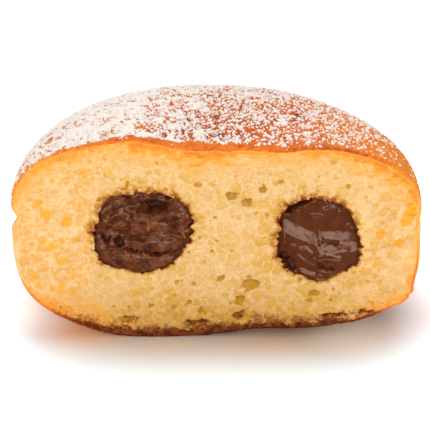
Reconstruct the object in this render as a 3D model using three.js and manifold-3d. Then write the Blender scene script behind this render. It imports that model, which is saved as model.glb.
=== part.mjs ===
// Half of a round filled doughnut, cut upright with a knife and standing on its underside.
// The cut face looks along -Y and shows two pockets of chocolate cream.
// Units are millimetres and +Z is up. The origin is on the underside, in the middle of the flat patch that
// carries the piece. The functions work from the whole doughnut's axis, and the last step moves the piece.
import * as THREE from 'three';
import { mergeVertices } from 'three/addons/utils/BufferGeometryUtils.js';
import Module from 'manifold-3d';

const wasm = await Module();
wasm.setup();

// The whole doughnut: a dome above the collar, a boxier belly below it.
const doughnut = {
  radius: 44.1,
  depthShare: 1.05, // the plan is a little longer at right angles to the cut
  collarHeight: 27.1, // where the doughnut is widest
  domeHeight: 20,
  domePower: 2.67, // 2 is an ellipse, more is squarer
  domeTilt: 0.08, // the share by which the dome is lower on the right and higher on the left
  bellyDepth: 28.6, // a little more than collarHeight, so the floor flattens the underside
  bellyPower: 3.3,
};

// The knife stands this far in front of the axis, so a little more than half is left.
const cutOffset = 5;

// The flat patch's middle, and so the origin, lies this far behind the axis.
const standPoint = 11;

// The crease where the upper crust meets the pale collar, deepest on the left. It starts high at the cut and
// runs lower behind it.
const crease = { height: 28.4, width: 1.3, depthLeft: 1.2, depthRight: 0.2, drop: 5, dropWithin: 10 };

// How far the knife left the outline of the cut outside the whole doughnut's section, in mm. The first number
// is the direction from the middle of the section, in degrees: 0 is right, 90 is up.
const knifePress = [
  [0, -0.4], [20, 0.8], [35, 0], [50, -2.3], [60, -1.9], [70, -1.6], [80, -1.8], [90, -2],
  [100, -2.1], [110, -2.5], [120, -2.2], [135, -0.7], [150, -0.8], [165, 0.6], [180, 0],
  [200, -0.7], [215, -1.8], [230, -1.3], [245, -1.3], [260, -2.1], [275, -2], [290, -3.6],
  [305, -3.6], [320, -3.1], [340, -0.5],
];
const pressFade = { above: 11, below: 9 }; // how far behind the cut the section is itself again

// The crust rolls over the edge of the cut face with this radius.
const lip = { top: 1.5, side: 0.6, bottom: 0.6 };

// Slow unevenness of the skin: height in mm, waves round the doughnut, waves per mm of height, phase.
const skinWaves = [
  { height: 0.3, round: 2, upright: 0.02, phase: 0.6 },
  { height: 0.18, round: 3, upright: -0.03, phase: 2.1 },
  { height: 0.1, round: 7, upright: 0.03, phase: 4.4 },
];

// Slow unevenness of the cut face: height in mm, waves per mm along x and z, phase.
const faceWaves = [
  { height: 0.3, x: 0.031, z: 0.022, phase: 0.4 },
  { height: 0.18, x: -0.048, z: 0.051, phase: 2.7 },
  { height: 0.1, x: 0.07, z: 0.061, phase: 5.1 },
];

// Two pockets of cream. An outline is an ellipse whose radius swells by a few waves: [waves, share, phase].
const pockets = [
  {
    name: 'filling_left',
    x: -15.7, z: 24.8, halfWidth: 10.6, halfHeight: 10, depth: 36,
    outline: [
      [1, 0.025, -0.9], [2, 0.05, 0.4], [4, 0.027, -1], [5, 0.02, 1.6], [6, 0.015, -0.6], [8, 0.015, 2.2],
    ],
    recess: 0.4, // how far the rim of the cream lies behind the cut face
    swell: 0.7, // how far its middle stands out again
    ridges: [[0.4, 0.11, 0.07, 0.5], [0.3, -0.06, 0.14, 2.4], [0.2, 0.15, 0.1, 4.0]],
  },
  {
    name: 'filling_right',
    x: 21.6, z: 23.1, halfWidth: 9.2, halfHeight: 9.9, depth: 34,
    outline: [
      [2, 0.024, -2.8], [3, 0.025, 2.8], [4, 0.02, -2.1], [5, 0.023, -3.1], [6, 0.018, -1.2], [8, 0.016, 0.3],
    ],
    recess: 0.9,
    swell: 1.2,
    ridges: [[0.3, 0.02, 0.1, 1.1], [0.2, 0.08, -0.06, 3.2], [0.12, 0.04, 0.16, 0.2]],
  },
];
const pocketGap = 0.3; // room between the cream and its pocket

// The largest holes of the crumb, placed by hand: x, z, half width, half height, depth.
const bigHoles = [
  [2.9, 33.3, 0.9, 1.0, 1.1], [6.3, 31.7, 1.3, 1.1, 1.3], [7.1, 12.4, 1.8, 1.2, 1.2],
  [4.7, 8.4, 1.1, 1.2, 1.4], [20.6, 10.3, 1.3, 0.7, 1.0], [4.5, 5.0, 1.1, 1.0, 1.4],
  [-19.0, 4.3, 2.1, 0.7, 1.2], [-4.3, 3.7, 2.4, 0.7, 1.2], [25.0, 5.4, 3.1, 0.7, 1.4],
  [32.3, 6.7, 2.2, 0.6, 1.0], [-38.2, 31.4, 1.1, 1.1, 0.8], [-36.6, 28.9, 1.1, 1.2, 0.8],
  [-31.9, 27.2, 1.2, 1.2, 0.9], [34.7, 24.2, 0.9, 1.0, 0.8], [38.6, 22.3, 1.1, 1.0, 0.8],
];

// The smaller holes fall at random places by one seed, clear of the rim and the pockets.
const smallHoles = { count: 24, least: 0.55, most: 1.1, depth: 0.8, seed: 11, margin: 3.4 };

const mesh = {
  round: 80, // points round each section
  faceRings: 12,
  lipRings: 3,
  bodyRings: 21,
  pocketRound: 40,
  pocketFaceRings: 7,
  pocketWallRings: 8,
};

// ---- small helpers ----

const smooth = (t) => t * t * (3 - 2 * t);

// A closed smooth curve through [degrees, value] pairs, read at a turn in radians.
function roundCurve(points, turn) {
  const degrees = THREE.MathUtils.euclideanModulo(THREE.MathUtils.radToDeg(turn), 360);
  const count = points.length;
  const i = points.findLastIndex(([start]) => start <= degrees);
  const next = (i + 1) % count;
  const end = next === 0 ? points[0][0] + 360 : points[next][0];
  const t = (degrees - points[i][0]) / (end - points[i][0]);
  const [a, b, c, d] = [i - 1, i, i + 1, i + 2].map((k) => points[(k + count) % count][1]);
  return b + 0.5 * t * (c - a + t * (2 * a - 5 * b + 4 * c - d + t * (3 * (b - c) + d - a)));
}

// The same random numbers on every run.
function randomFrom(seed) {
  let state = seed;
  return () => {
    state = (state + 0x6d2b79f5) | 0;
    let mixed = Math.imul(state ^ (state >>> 15), 1 | state);
    mixed = (mixed + Math.imul(mixed ^ (mixed >>> 7), 61 | mixed)) ^ mixed;
    return ((mixed ^ (mixed >>> 14)) >>> 0) / 4294967296;
  };
}

// A closed skin over rings of points, from one pole to the other. All rings hold the same number of points.
function skinOver(firstPole, rings, lastPole) {
  const around = rings[0].length;
  const points = [firstPole, ...rings.flat(), lastPole];
  const last = points.length - 1;
  const at = (ring, i) => 1 + ring * around + (i % around);
  const faces = [];
  for (let i = 0; i < around; i++) faces.push(0, at(0, i), at(0, i + 1));
  for (let ring = 0; ring + 1 < rings.length; ring++) {
    for (let i = 0; i < around; i++) {
      faces.push(at(ring, i), at(ring + 1, i + 1), at(ring, i + 1));
      faces.push(at(ring, i), at(ring + 1, i), at(ring + 1, i + 1));
    }
  }
  for (let i = 0; i < around; i++) faces.push(at(rings.length - 1, i), last, at(rings.length - 1, i + 1));
  const geometry = new THREE.BufferGeometry().setFromPoints(points);
  geometry.setIndex(faces);
  return geometry;
}

function solidFrom(geometry) {
  const bare = new THREE.BufferGeometry().setAttribute('position', geometry.getAttribute('position').clone());
  if (geometry.index) bare.setIndex(geometry.index);
  const merged = mergeVertices(bare, 1e-4);
  return new wasm.Manifold(new wasm.Mesh({
    numProp: 3,
    vertProperties: new Float32Array(merged.getAttribute('position').array),
    triVerts: new Uint32Array(merged.index.array),
  }));
}

function geometryFrom(solid) {
  const { numProp, vertProperties, triVerts } = solid.getMesh();
  const positions = new Float32Array((vertProperties.length / numProp) * 3);
  for (let i = 0; i * numProp < vertProperties.length; i++) {
    positions.set(vertProperties.subarray(i * numProp, i * numProp + 3), i * 3);
  }
  const geometry = new THREE.BufferGeometry();
  geometry.setAttribute('position', new THREE.BufferAttribute(positions, 3));
  geometry.setIndex(new THREE.BufferAttribute(new Uint32Array(triVerts), 1));
  geometry.computeVertexNormals();
  return geometry;
}

// ---- the dough ----

function skinWave(x, y, z) {
  const turn = Math.atan2(y, x);
  return skinWaves.reduce(
    (sum, w) => sum + w.height * Math.sin(w.round * turn + 2 * Math.PI * w.upright * z + w.phase), 0);
}

// How far a ray from the middle of the upright section at depth y runs before it leaves the whole doughnut.
function reachInSection(directionX, directionZ, y) {
  const up = directionZ >= 0;
  const power = up ? doughnut.domePower : doughnut.bellyPower;
  const half = up ? doughnut.domeHeight : doughnut.bellyDepth;
  let near = 0;
  let far = doughnut.radius * 1.5;
  for (let step = 0; step < 40; step++) {
    const reach = (near + far) / 2;
    const plan = Math.hypot(reach * directionX, y / doughnut.depthShare) / doughnut.radius;
    const rise = Math.abs(reach * directionZ) / half;
    if (plan ** power + rise ** power < 1) near = reach;
    else far = reach;
  }
  return near;
}

// A point of the skin: turn is the direction in the section, behind is the distance behind the cut, and
// inward pulls the point in.
function skinPoint(turn, behind, inward) {
  const back = doughnut.radius * doughnut.depthShare;
  const y = Math.min(behind - cutOffset, back * 0.9999);
  const reach = reachInSection(Math.cos(turn), Math.sin(turn), y);
  const fullness = Math.sqrt(1 - (y / back) ** 2);
  const side = Math.cos(turn) * reach;
  const height = doughnut.collarHeight + Math.sin(turn) * reach;

  // The crease runs round the sides and fades out where the section is a mere point.
  const leftShare = smooth(THREE.MathUtils.clamp(0.5 - side / (2 * doughnut.radius), 0, 1));
  const creaseDepth = THREE.MathUtils.lerp(crease.depthRight, crease.depthLeft, leftShare);
  const creaseHeight = crease.height - crease.drop * (1 - Math.exp(-behind / crease.dropWithin));
  const creasePull = creaseDepth * Math.exp(-(((height - creaseHeight) / crease.width) ** 2));
  const fade = Math.sin(turn) > 0 ? pressFade.above : pressFade.below;
  const press = roundCurve(knifePress, turn) * Math.exp(-((behind / fade) ** 2));
  const pull = Math.min(
    reach * 0.9, inward + (creasePull - skinWave(side, y, height)) * fullness - press);
  const x = side - Math.cos(turn) * pull;
  const above = height - Math.sin(turn) * pull - doughnut.collarHeight;
  const tilted = above > 0 ? above * (1 - (doughnut.domeTilt * x) / doughnut.radius) : above;
  return new THREE.Vector3(x, y, Math.max(0, doughnut.collarHeight + tilted));
}

function lipRadius(turn) {
  const up = Math.sin(turn);
  return THREE.MathUtils.lerp(lip.side, up > 0 ? lip.top : lip.bottom, up ** 4);
}

function faceRelief(x, z) {
  return faceWaves.reduce(
    (sum, w) => sum + w.height * Math.sin(2 * Math.PI * (w.x * x + w.z * z) + w.phase), 0);
}

function wholeDough() {
  const turns = Array.from({ length: mesh.round }, (_, i) => (2 * Math.PI * i) / mesh.round);
  const rim = turns.map((turn) => skinPoint(turn, 0, lipRadius(turn)));
  const middle = new THREE.Vector3(0, -cutOffset, doughnut.collarHeight);
  middle.y += faceRelief(middle.x, middle.z);

  const rings = [];
  for (let ring = 1; ring <= mesh.faceRings; ring++) {
    const share = ring / mesh.faceRings;
    rings.push(rim.map((edge) => {
      const x = edge.x * share;
      const z = THREE.MathUtils.lerp(doughnut.collarHeight, edge.z, share);
      return new THREE.Vector3(x, -cutOffset + faceRelief(x, z) * (1 - share ** 6), z);
    }));
  }
  for (let ring = 1; ring <= mesh.lipRings; ring++) {
    const bend = (Math.PI / 2) * (ring / mesh.lipRings);
    rings.push(turns.map((turn) => {
      const radius = lipRadius(turn);
      return skinPoint(turn, radius * (1 - Math.cos(bend)), radius * (1 - Math.sin(bend)));
    }));
  }
  const back = doughnut.radius * doughnut.depthShare;
  for (let ring = 1; ring < mesh.bodyRings; ring++) {
    rings.push(turns.map((turn) => {
      const first = Math.asin((lipRadius(turn) - cutOffset) / back);
      const angle = THREE.MathUtils.lerp(first, Math.PI / 2, ring / mesh.bodyRings);
      return skinPoint(turn, back * Math.sin(angle) + cutOffset, 0);
    }));
  }
  return skinOver(middle, rings, new THREE.Vector3(0, back, doughnut.collarHeight));
}

// ---- the pockets and their cream ----

function pocketRadius(pocket, turn) {
  const round = Math.hypot(Math.cos(turn) / pocket.halfWidth, Math.sin(turn) / pocket.halfHeight);
  const swell = pocket.outline.reduce(
    (sum, [waves, share, phase]) => sum + share * Math.sin(waves * turn + phase), 1);
  return swell / round;
}

// The wall of a pocket: it keeps its width for a while and closes in a round end.
function pocketRing(pocket, share, grow) {
  const width = (1 - share ** 3.2) ** (1 / 2.2);
  return Array.from({ length: mesh.pocketRound }, (_, i) => {
    const turn = (2 * Math.PI * i) / mesh.pocketRound;
    const plain = (pocket.halfWidth + pocket.halfHeight) / 2;
    const radius = THREE.MathUtils.lerp(pocketRadius(pocket, turn), plain, share) * width + grow;
    const y = -cutOffset + share * pocket.depth;
    return new THREE.Vector3(pocket.x + radius * Math.cos(turn), y, pocket.z + radius * Math.sin(turn));
  });
}

const wallShares = Array.from(
  { length: mesh.pocketWallRings }, (_, i) => Math.sin((Math.PI / 2) * (i / mesh.pocketWallRings)));

function pocketHollow(pocket) {
  const walls = wallShares.map((share) => pocketRing(pocket, share, pocketGap));
  const outside = 4; // the hollow starts this far in front of the cut face
  const mouth = walls[0].map((p) => new THREE.Vector3(p.x, -cutOffset - outside, p.z));
  return skinOver(
    new THREE.Vector3(pocket.x, -cutOffset - outside, pocket.z), [mouth, ...walls],
    new THREE.Vector3(pocket.x, -cutOffset + pocket.depth + pocketGap, pocket.z));
}

// The cut surface of the cream: smeared by the knife, slightly sunk at its edge.
function creamFace(pocket, x, z, share) {
  const smear = pocket.ridges.reduce(
    (sum, [height, alongX, alongZ, phase]) =>
      sum + height * Math.sin(2 * Math.PI * (alongX * x + alongZ * z) + phase), 0);
  const dome = pocket.swell * (1 - share * share);
  return -cutOffset + pocket.recess - dome - smear * (1 - share ** 4);
}

function pocketCream(pocket) {
  const edge = pocketRing(pocket, 0, 0);
  const rings = [];
  for (let ring = 1; ring <= mesh.pocketFaceRings; ring++) {
    const share = ring / mesh.pocketFaceRings;
    rings.push(edge.map((p) => {
      const x = THREE.MathUtils.lerp(pocket.x, p.x, share);
      const z = THREE.MathUtils.lerp(pocket.z, p.z, share);
      return new THREE.Vector3(x, creamFace(pocket, x, z, share), z);
    }));
  }
  for (const share of wallShares.slice(1)) rings.push(pocketRing(pocket, share, 0));
  return skinOver(
    new THREE.Vector3(pocket.x, creamFace(pocket, pocket.x, pocket.z, 0), pocket.z), rings,
    new THREE.Vector3(pocket.x, -cutOffset + pocket.depth, pocket.z));
}

// ---- holes in the crumb ----

function crumbHole(x, z, halfWidth, halfHeight, depth, spin) {
  const hole = new THREE.IcosahedronGeometry(1, 1);
  hole.applyMatrix4(new THREE.Matrix4().makeRotationY(spin));
  hole.applyMatrix4(new THREE.Matrix4().makeScale(halfWidth, depth, halfHeight));
  hole.translate(x, -cutOffset + faceRelief(x, z), z);
  return hole;
}

function insideRim(x, z, margin) {
  const turn = Math.atan2(z - doughnut.collarHeight, x);
  const edge = skinPoint(turn, 0, margin);
  return Math.hypot(x, z - doughnut.collarHeight) < Math.hypot(edge.x, edge.z - doughnut.collarHeight);
}

function clearOfPockets(x, z, margin) {
  return pockets.every((pocket) => {
    const across = (x - pocket.x) / (pocket.halfWidth + margin);
    const up = (z - pocket.z) / (pocket.halfHeight + margin);
    return Math.hypot(across, up) > 1;
  });
}

function clearOfHoles(holes, x, z, size) {
  return holes.every(([holeX, holeZ, reach]) => Math.hypot(x - holeX, z - holeZ) > reach + size + 0.4);
}

function allHoles() {
  const random = randomFrom(smallHoles.seed);
  const placed = bigHoles.map(([x, z, halfWidth, halfHeight]) => [x, z, Math.max(halfWidth, halfHeight)]);
  const holes = bigHoles.map((hole) => crumbHole(...hole, 0));
  while (holes.length < bigHoles.length + smallHoles.count) {
    const size = THREE.MathUtils.lerp(smallHoles.least, smallHoles.most, random() ** 2);
    const x = (2 * random() - 1) * doughnut.radius;
    const z = random() * (doughnut.collarHeight + doughnut.domeHeight);
    const clear = insideRim(x, z, smallHoles.margin) && clearOfPockets(x, z, size + 1);
    if (!clear || !clearOfHoles(placed, x, z, size)) continue;
    placed.push([x, z, size]);
    holes.push(crumbHole(x, z, size * 1.15, size, smallHoles.depth * size, random() * Math.PI));
  }
  return holes;
}

function carvedDough() {
  let dough = solidFrom(wholeDough());
  for (const pocket of pockets) dough = dough.subtract(solidFrom(pocketHollow(pocket)));
  for (const hole of allHoles()) dough = dough.subtract(solidFrom(hole));
  return geometryFrom(dough);
}

// ---- materials and the group ----

const doughMaterial = new THREE.MeshStandardMaterial({ color: 0xf2c57e, roughness: 0.85, metalness: 0 });
const creamMaterial = new THREE.MeshStandardMaterial({ color: 0x5a2f1e, roughness: 0.25, metalness: 0 });

function named(name, geometry, material) {
  const made = new THREE.Mesh(geometry.translate(0, -standPoint, 0), material);
  made.name = name;
  return made;
}

const part = new THREE.Group();
part.add(named('dough', carvedDough(), doughMaterial));
for (const pocket of pockets) part.add(named(pocket.name, pocketCream(pocket), creamMaterial));

export default part;
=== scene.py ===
import math
import bpy
import numpy as np
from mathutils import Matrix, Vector
from mathutils.geometry import delaunay_2d_cdt
from mathutils.kdtree import KDTree


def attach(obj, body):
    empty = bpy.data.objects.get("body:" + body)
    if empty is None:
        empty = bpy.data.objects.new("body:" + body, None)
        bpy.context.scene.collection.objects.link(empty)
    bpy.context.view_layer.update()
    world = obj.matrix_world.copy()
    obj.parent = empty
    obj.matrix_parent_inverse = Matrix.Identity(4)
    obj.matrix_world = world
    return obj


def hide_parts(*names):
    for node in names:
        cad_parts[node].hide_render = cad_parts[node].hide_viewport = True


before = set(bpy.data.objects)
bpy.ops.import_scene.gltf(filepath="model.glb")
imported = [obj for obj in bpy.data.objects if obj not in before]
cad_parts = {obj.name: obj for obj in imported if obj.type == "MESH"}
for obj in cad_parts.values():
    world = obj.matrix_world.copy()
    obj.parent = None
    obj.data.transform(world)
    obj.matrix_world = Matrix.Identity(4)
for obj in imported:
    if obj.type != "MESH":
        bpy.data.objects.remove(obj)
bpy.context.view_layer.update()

# Half of a round filled doughnut, standing on its underside with the cut towards -Y.
# Shapes are worked out in millimetres from the whole doughnut's axis, and toFrame moves them into the frame.
doughnut = {
    "radius": 44.1, "depthShare": 1.05, "collarHeight": 27.1, "domeHeight": 20.0, "domePower": 2.67,
    "domeTilt": 0.08, "bellyDepth": 28.6, "bellyPower": 3.3, "cutOffset": 5.0, "standPoint": 11.0,
    "crease": {"height": 28.4, "width": 1.3, "left": 1.2, "right": 0.2, "drop": 5.0, "dropWithin": 10.0},
    "lip": {"top": 1.5, "side": 0.6, "bottom": 0.6},
    "pressAbove": 11.0, "pressBelow": 9.0,
    # a flake of crust off the cut's edge: degrees, half width in degrees, how far back and how high in mm
    "flake": {"at": -23.5, "wide": 4.5, "long": 2.2, "high": 0.7},
    # how ragged the crust's edge is, by place in mm, how fine, and how far back it reaches
    "jag": {"low": 0.18, "high": 0.2, "corner": 0.3, "waves": 48, "reach": 2},
    # how far the knife moved the outline of the cut: degrees (0 is right, 90 is up), mm outward
    "knifePress": [
        (0, -0.4), (20, 0.8), (35, 0), (50, -2.3), (60, -1.9), (70, -1.6), (80, -1.8), (90, -2),
        (100, -2.1), (110, -2.5), (120, -2.2), (135, -0.7), (150, -0.8), (165, 0.6), (180, 0), (200, -0.7),
        (215, -1.8), (230, -1.3), (245, -1.3), (260, -2.1), (275, -2), (290, -3.6), (305, -3.6),
        (320, -3.1), (340, -0.5),
    ],
    # slow unevenness of the skin: height, waves round, waves per mm upright, phase
    "skinWaves": [(0.3, 2, 0.02, 0.6), (0.18, 3, -0.03, 2.1), (0.1, 7, 0.03, 4.4)],
    # and of the cut face: height, waves per mm along x and z, phase
    "faceWaves": [(0.3, 0.031, 0.022, 0.4), (0.18, -0.048, 0.051, 2.7), (0.1, 0.07, 0.061, 5.1)],
    # between the cream and the wall of its pocket
    "pocketGap": 0.3,
}


def smooth(t):
    t = np.clip(t, 0, 1)
    return t * t * (3 - 2 * t)


def step(low, high, value):  # 0 below low, 1 above high, soft between
    return smooth((np.asarray(value, float) - low) / (high - low))


def blend(a, b, share):
    return a + (b - a) * share


def roundCurve(points, degrees):  # a closed smooth curve through (degrees, value) pairs
    at = np.array([p[0] for p in points], float)
    values = np.array([p[1] for p in points], float)
    count = len(at)
    degrees = np.mod(degrees, 360)
    i = np.searchsorted(at, degrees, side="right") - 1
    after = (i + 1) % count
    end = np.where(after == 0, at[after] + 360, at[after])
    t = (degrees - at[i]) / (end - at[i])
    a, b, c, d = values[(i - 1) % count], values[i], values[after], values[(i + 2) % count]
    return b + 0.5 * t * (c - a + t * (2 * a - 5 * b + 4 * c - d + t * (3 * (b - c) + d - a)))


def lineCurve(points, x):  # straight pieces through (x, value) pairs
    return np.interp(x, [p[0] for p in points], [p[1] for p in points])


def latticeValue(ix, iy, seed):  # a fixed random number from 0 to 1 for each lattice point
    h = (ix.astype(np.int64) * 374761393 + iy.astype(np.int64) * 668265263 + seed * 974711) & 0xFFFFFFFF
    h = ((h ^ (h >> 13)) * 1274126177) & 0xFFFFFFFF
    h = ((h ^ (h >> 16)) * 2246822519) & 0xFFFFFFFF
    return ((h ^ (h >> 15)) & 0xFFFFFF) / 16777216.0


def softNoise(x, y, seed):  # from -1 to 1, smooth, one wave about every two units
    ix, iy = np.floor(x), np.floor(y)
    fx, fy = smooth(x - ix), smooth(y - iy)
    v = [latticeValue(ix + a, iy + b, seed) for b in (0, 1) for a in (0, 1)]
    return 2 * blend(blend(v[0], v[1], fx), blend(v[2], v[3], fx), fy) - 1


def roughNoise(x, y, seed, octaves=3, gain=0.5):
    total, size, share = 0, 0, 1
    for octave in range(octaves):
        total = total + share * softNoise(x * 2**octave + 7.3 * octave, y * 2**octave, seed + 31 * octave)
        size += share
        share *= gain
    return total / size


def roundNoise(turn, fineness, seed, octaves=1, gain=0.5, shift=0):  # closes on itself round the cut
    return roughNoise(np.cos(turn) * fineness + shift, np.sin(turn) * fineness, seed, octaves, gain)


def cellPattern(x, y, seed):  # distance to the nearest and next cell middle, and the nearest cell's number
    ix, iy = np.floor(x), np.floor(y)
    near, far, pick = np.full(x.shape, 9.0), np.full(x.shape, 9.0), np.zeros(x.shape)
    for a in (-1, 0, 1):
        for b in (-1, 0, 1):
            px = ix + a + latticeValue(ix + a, iy + b, seed)
            py = iy + b + latticeValue(ix + a, iy + b, seed + 17)
            gap = np.hypot(px - x, py - y)
            closer = gap < near
            far = np.where(closer, near, np.minimum(far, gap))
            pick = np.where(closer, latticeValue(ix + a, iy + b, seed + 5), pick)
            near = np.where(closer, gap, near)
    return near, far, pick


def degreesFrom(turn, at):
    return np.degrees(np.angle(np.exp(1j * (turn - math.radians(at)))))


def inOval(x, z, middleX, middleZ, halfWidth, halfHeight):  # 0 in its middle, 1 at its edge
    return np.hypot((x - middleX) / halfWidth, (z - middleZ) / halfHeight)


def reachInSection(dirX, dirZ, y):  # from the collar's height out to the plain skin, found by halving
    up = dirZ >= 0
    power = np.where(up, doughnut["domePower"], doughnut["bellyPower"])
    half = np.where(up, doughnut["domeHeight"], doughnut["bellyDepth"])
    near = np.zeros(np.broadcast(dirX, dirZ, y).shape)
    far = near + doughnut["radius"] * 1.5
    halvings = 40
    for _ in range(halvings):
        reach = (near + far) / 2
        plan = np.hypot(reach * dirX, y / doughnut["depthShare"]) / doughnut["radius"]
        inside = plan**power + (np.abs(reach * dirZ) / half)**power < 1
        near, far = np.where(inside, reach, near), np.where(inside, far, reach)
    return near


def creaseHeight(behind):  # the crease over the collar drops behind the cut
    crease = doughnut["crease"]
    return crease["height"] - crease["drop"] * (1 - np.exp(-behind / crease["dropWithin"]))


def skinPoint(turn, behind, inward):  # turn is in radians round the cut, behind the cut and inward in mm
    turn, behind, inward = np.broadcast_arrays(*(np.asarray(v, float) for v in (turn, behind, inward)))
    radius, collar, crease = doughnut["radius"], doughnut["collarHeight"], doughnut["crease"]
    back = radius * doughnut["depthShare"]
    y = np.minimum(behind - doughnut["cutOffset"], back * 0.9999)
    dirX, dirZ = np.cos(turn), np.sin(turn)
    reach = reachInSection(dirX, dirZ, y)
    fullness = np.sqrt(np.maximum(0, 1 - (y / back)**2))
    side, height = dirX * reach, collar + dirZ * reach
    depth = blend(crease["right"], crease["left"], smooth(0.5 - side / (2 * radius)))
    creasePull = depth * np.exp(-((height - creaseHeight(behind)) / crease["width"])**2)
    wave = sum(high * np.sin(waves * np.arctan2(y, side) + 2 * np.pi * upright * height + phase)
               for high, waves, upright, phase in doughnut["skinWaves"])
    fade = np.where(dirZ > 0, doughnut["pressAbove"], doughnut["pressBelow"])
    press = roundCurve(doughnut["knifePress"], np.degrees(turn)) * np.exp(-(behind / fade)**2)
    pull = np.minimum(reach * 0.9, inward + (creasePull - wave) * fullness - press)
    x = side - dirX * pull
    above = height - dirZ * pull - collar
    above = np.where(above > 0, above * (1 - doughnut["domeTilt"] * x / radius), above)
    return np.stack([x, y, np.maximum(0, collar + above)], -1)


def lipRadius(turn):
    up = np.sin(turn)
    lip = doughnut["lip"]
    return blend(lip["side"], np.where(up > 0, lip["top"], lip["bottom"]), up**4)


def rimJag(turn, behind):  # how far the torn edge of the crust is moved inward, with one loose flake outward
    jag, flake = doughnut["jag"], doughnut["flake"]
    rise = np.sin(turn)
    low = step(-0.3, -0.7, rise)
    high = step(0.0, 0.4, rise)
    corner = step(-0.3, -0.45, rise) * step(0.7, 0.8, np.cos(turn))
    torn = roughNoise(np.cos(turn) * jag["waves"], rise * jag["waves"] + behind * 0.8, 101)
    share = jag["low"] * low + jag["high"] * high + jag["corner"] * corner
    torn = torn * share * np.exp(-(behind / jag["reach"])**2)
    loose = np.exp(-(degreesFrom(turn, flake["at"]) / flake["wide"])**4)
    loose = loose * np.exp(-(behind / flake["long"])**2)
    return torn - flake["high"] * loose * (1 + 0.6 * roundNoise(turn, 60, 102))


def faceRelief(x, z):
    return sum(high * np.sin(2 * np.pi * (alongX * x + alongZ * z) + phase)
               for high, alongX, alongZ, phase in doughnut["faceWaves"])


# The two pockets of cream, as in the solids: an ellipse whose radius swells by a few waves.
pockets = {
    "left": {
        "node": "filling_left", "x": -15.7, "z": 24.8, "halfWidth": 10.6, "halfHeight": 10.0, "depth": 36.0,
        # waves round, share of the radius, phase
        "outline": [
            (1, 0.025, -0.9), (2, 0.05, 0.4), (4, 0.027, -1), (5, 0.02, 1.6), (6, 0.015, -0.6),
            (8, 0.015, 2.2),
        ],
        # where the crumb's edge is further out, or in (below 0): degrees, half width in degrees, mm
        "spikes": [
            (-14, 2.2, 0.75), (1, 1.8, 0.35), (12, 2.2, 0.55), (-6, 2.4, -0.6), (6.5, 2.2, -0.5),
            (180, 3, 0.3), (83, 14, -0.75),
        ],
        # how far the crumb round it is stained: least, more, degrees that the most is turned left
        "halo": (1.2, 2.4, 25),
    },
    "right": {
        "node": "filling_right", "x": 21.6, "z": 23.1, "halfWidth": 9.2, "halfHeight": 9.9, "depth": 34.0,
        "outline": [
            (2, 0.024, -2.8), (3, 0.025, 2.8), (4, 0.02, -2.1), (5, 0.023, -3.1), (6, 0.018, -1.2),
            (8, 0.016, 0.3),
        ],
        "spikes": [(205, 4, 0.5), (222, 3, 0.6), (178, 3, 0.3), (90, 20, -0.45)], "halo": (1.3, 2.4, 30),
    },
}


def pocketRadius(pocket, turn):
    swell = 1 + sum(share * np.sin(n * turn + p) for n, share, p in pocket["outline"])
    return swell / np.hypot(np.cos(turn) / pocket["halfWidth"], np.sin(turn) / pocket["halfHeight"])


def pocketRing(pocket, turn, share, grow):  # the wall keeps its width for a while and closes in a round end
    width = max(0.0, 1 - share**3.2)**(1 / 2.2)
    plain = (pocket["halfWidth"] + pocket["halfHeight"]) / 2
    radius = blend(pocketRadius(pocket, turn), plain, share) * width + grow
    y = np.full(turn.shape, share * pocket["depth"] - doughnut["cutOffset"])
    return np.stack([pocket["x"] + radius * np.cos(turn), y, pocket["z"] + radius * np.sin(turn)], -1)


def pocketPolar(pocket, x, z):  # distance from the pocket's middle, direction, and the outline's radius there
    turn = np.arctan2(z - pocket["z"], x - pocket["x"])
    return np.hypot(x - pocket["x"], z - pocket["z"]), turn, pocketRadius(pocket, turn)


def toFrame(points):  # millimetres from the axis to metres in the frame
    return (np.asarray(points, float) - (0, doughnut["standPoint"], 0)) / 1000


def makeMesh(name, points, faces, material, values=None):
    mesh = bpy.data.meshes.new(name)
    mesh.vertices.add(len(points))
    mesh.vertices.foreach_set("co", toFrame(points).astype(np.float32).ravel())
    faces = np.asarray(faces, np.int32)
    mesh.loops.add(faces.size)
    mesh.loops.foreach_set("vertex_index", faces.ravel())
    mesh.polygons.add(len(faces))
    mesh.polygons.foreach_set("loop_start", np.arange(0, faces.size, 3, dtype=np.int32))
    for key, value in (values or {}).items():
        mesh.attributes.new(key, "FLOAT", "POINT").data.foreach_set("value", np.asarray(value, np.float32))
    mesh.update(calc_edges=True)
    mesh.validate()
    mesh.shade_smooth()
    mesh.materials.append(material)
    made = bpy.data.objects.new(name, mesh)
    bpy.context.scene.collection.objects.link(made)
    return made


def stripBetween(first, second):  # two rings of the same count, the second further inside the solid
    a, b = np.asarray(first), np.asarray(second)
    nextA, nextB = np.roll(a, -1), np.roll(b, -1)
    return np.concatenate([np.stack([a, nextB, nextA], 1), np.stack([a, b, nextB], 1)])


def flatFill(loops, inner, inside):  # triangles over loops and inner points, seen from -Y
    flat = np.concatenate([*loops, inner])
    edges, start = [], 0
    for loop in loops:
        edges += [(start + i, start + (i + 1) % len(loop)) for i in range(len(loop))]
        start += len(loop)
    verts, _, tris, origin, _, _ = delaunay_2d_cdt([Vector(p) for p in flat.tolist()], edges, [], 0, 1e-7)
    first = np.array([o[0] if o else -1 for o in origin])
    tris = np.array(tris)
    place = np.array([tuple(v) for v in verts])
    middle = place[tris].mean(1)
    tris = first[tris[inside(middle[:, 0], middle[:, 1])]]
    a, b, c = (flat[tris[:, k]] for k in range(3))
    area = (b[:, 0] - a[:, 0]) * (c[:, 1] - a[:, 1]) - (b[:, 1] - a[:, 1]) * (c[:, 0] - a[:, 0])
    return np.where((area > 0)[:, None], tris, tris[:, ::-1])  # x to the right, z up: outward is towards -Y


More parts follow.
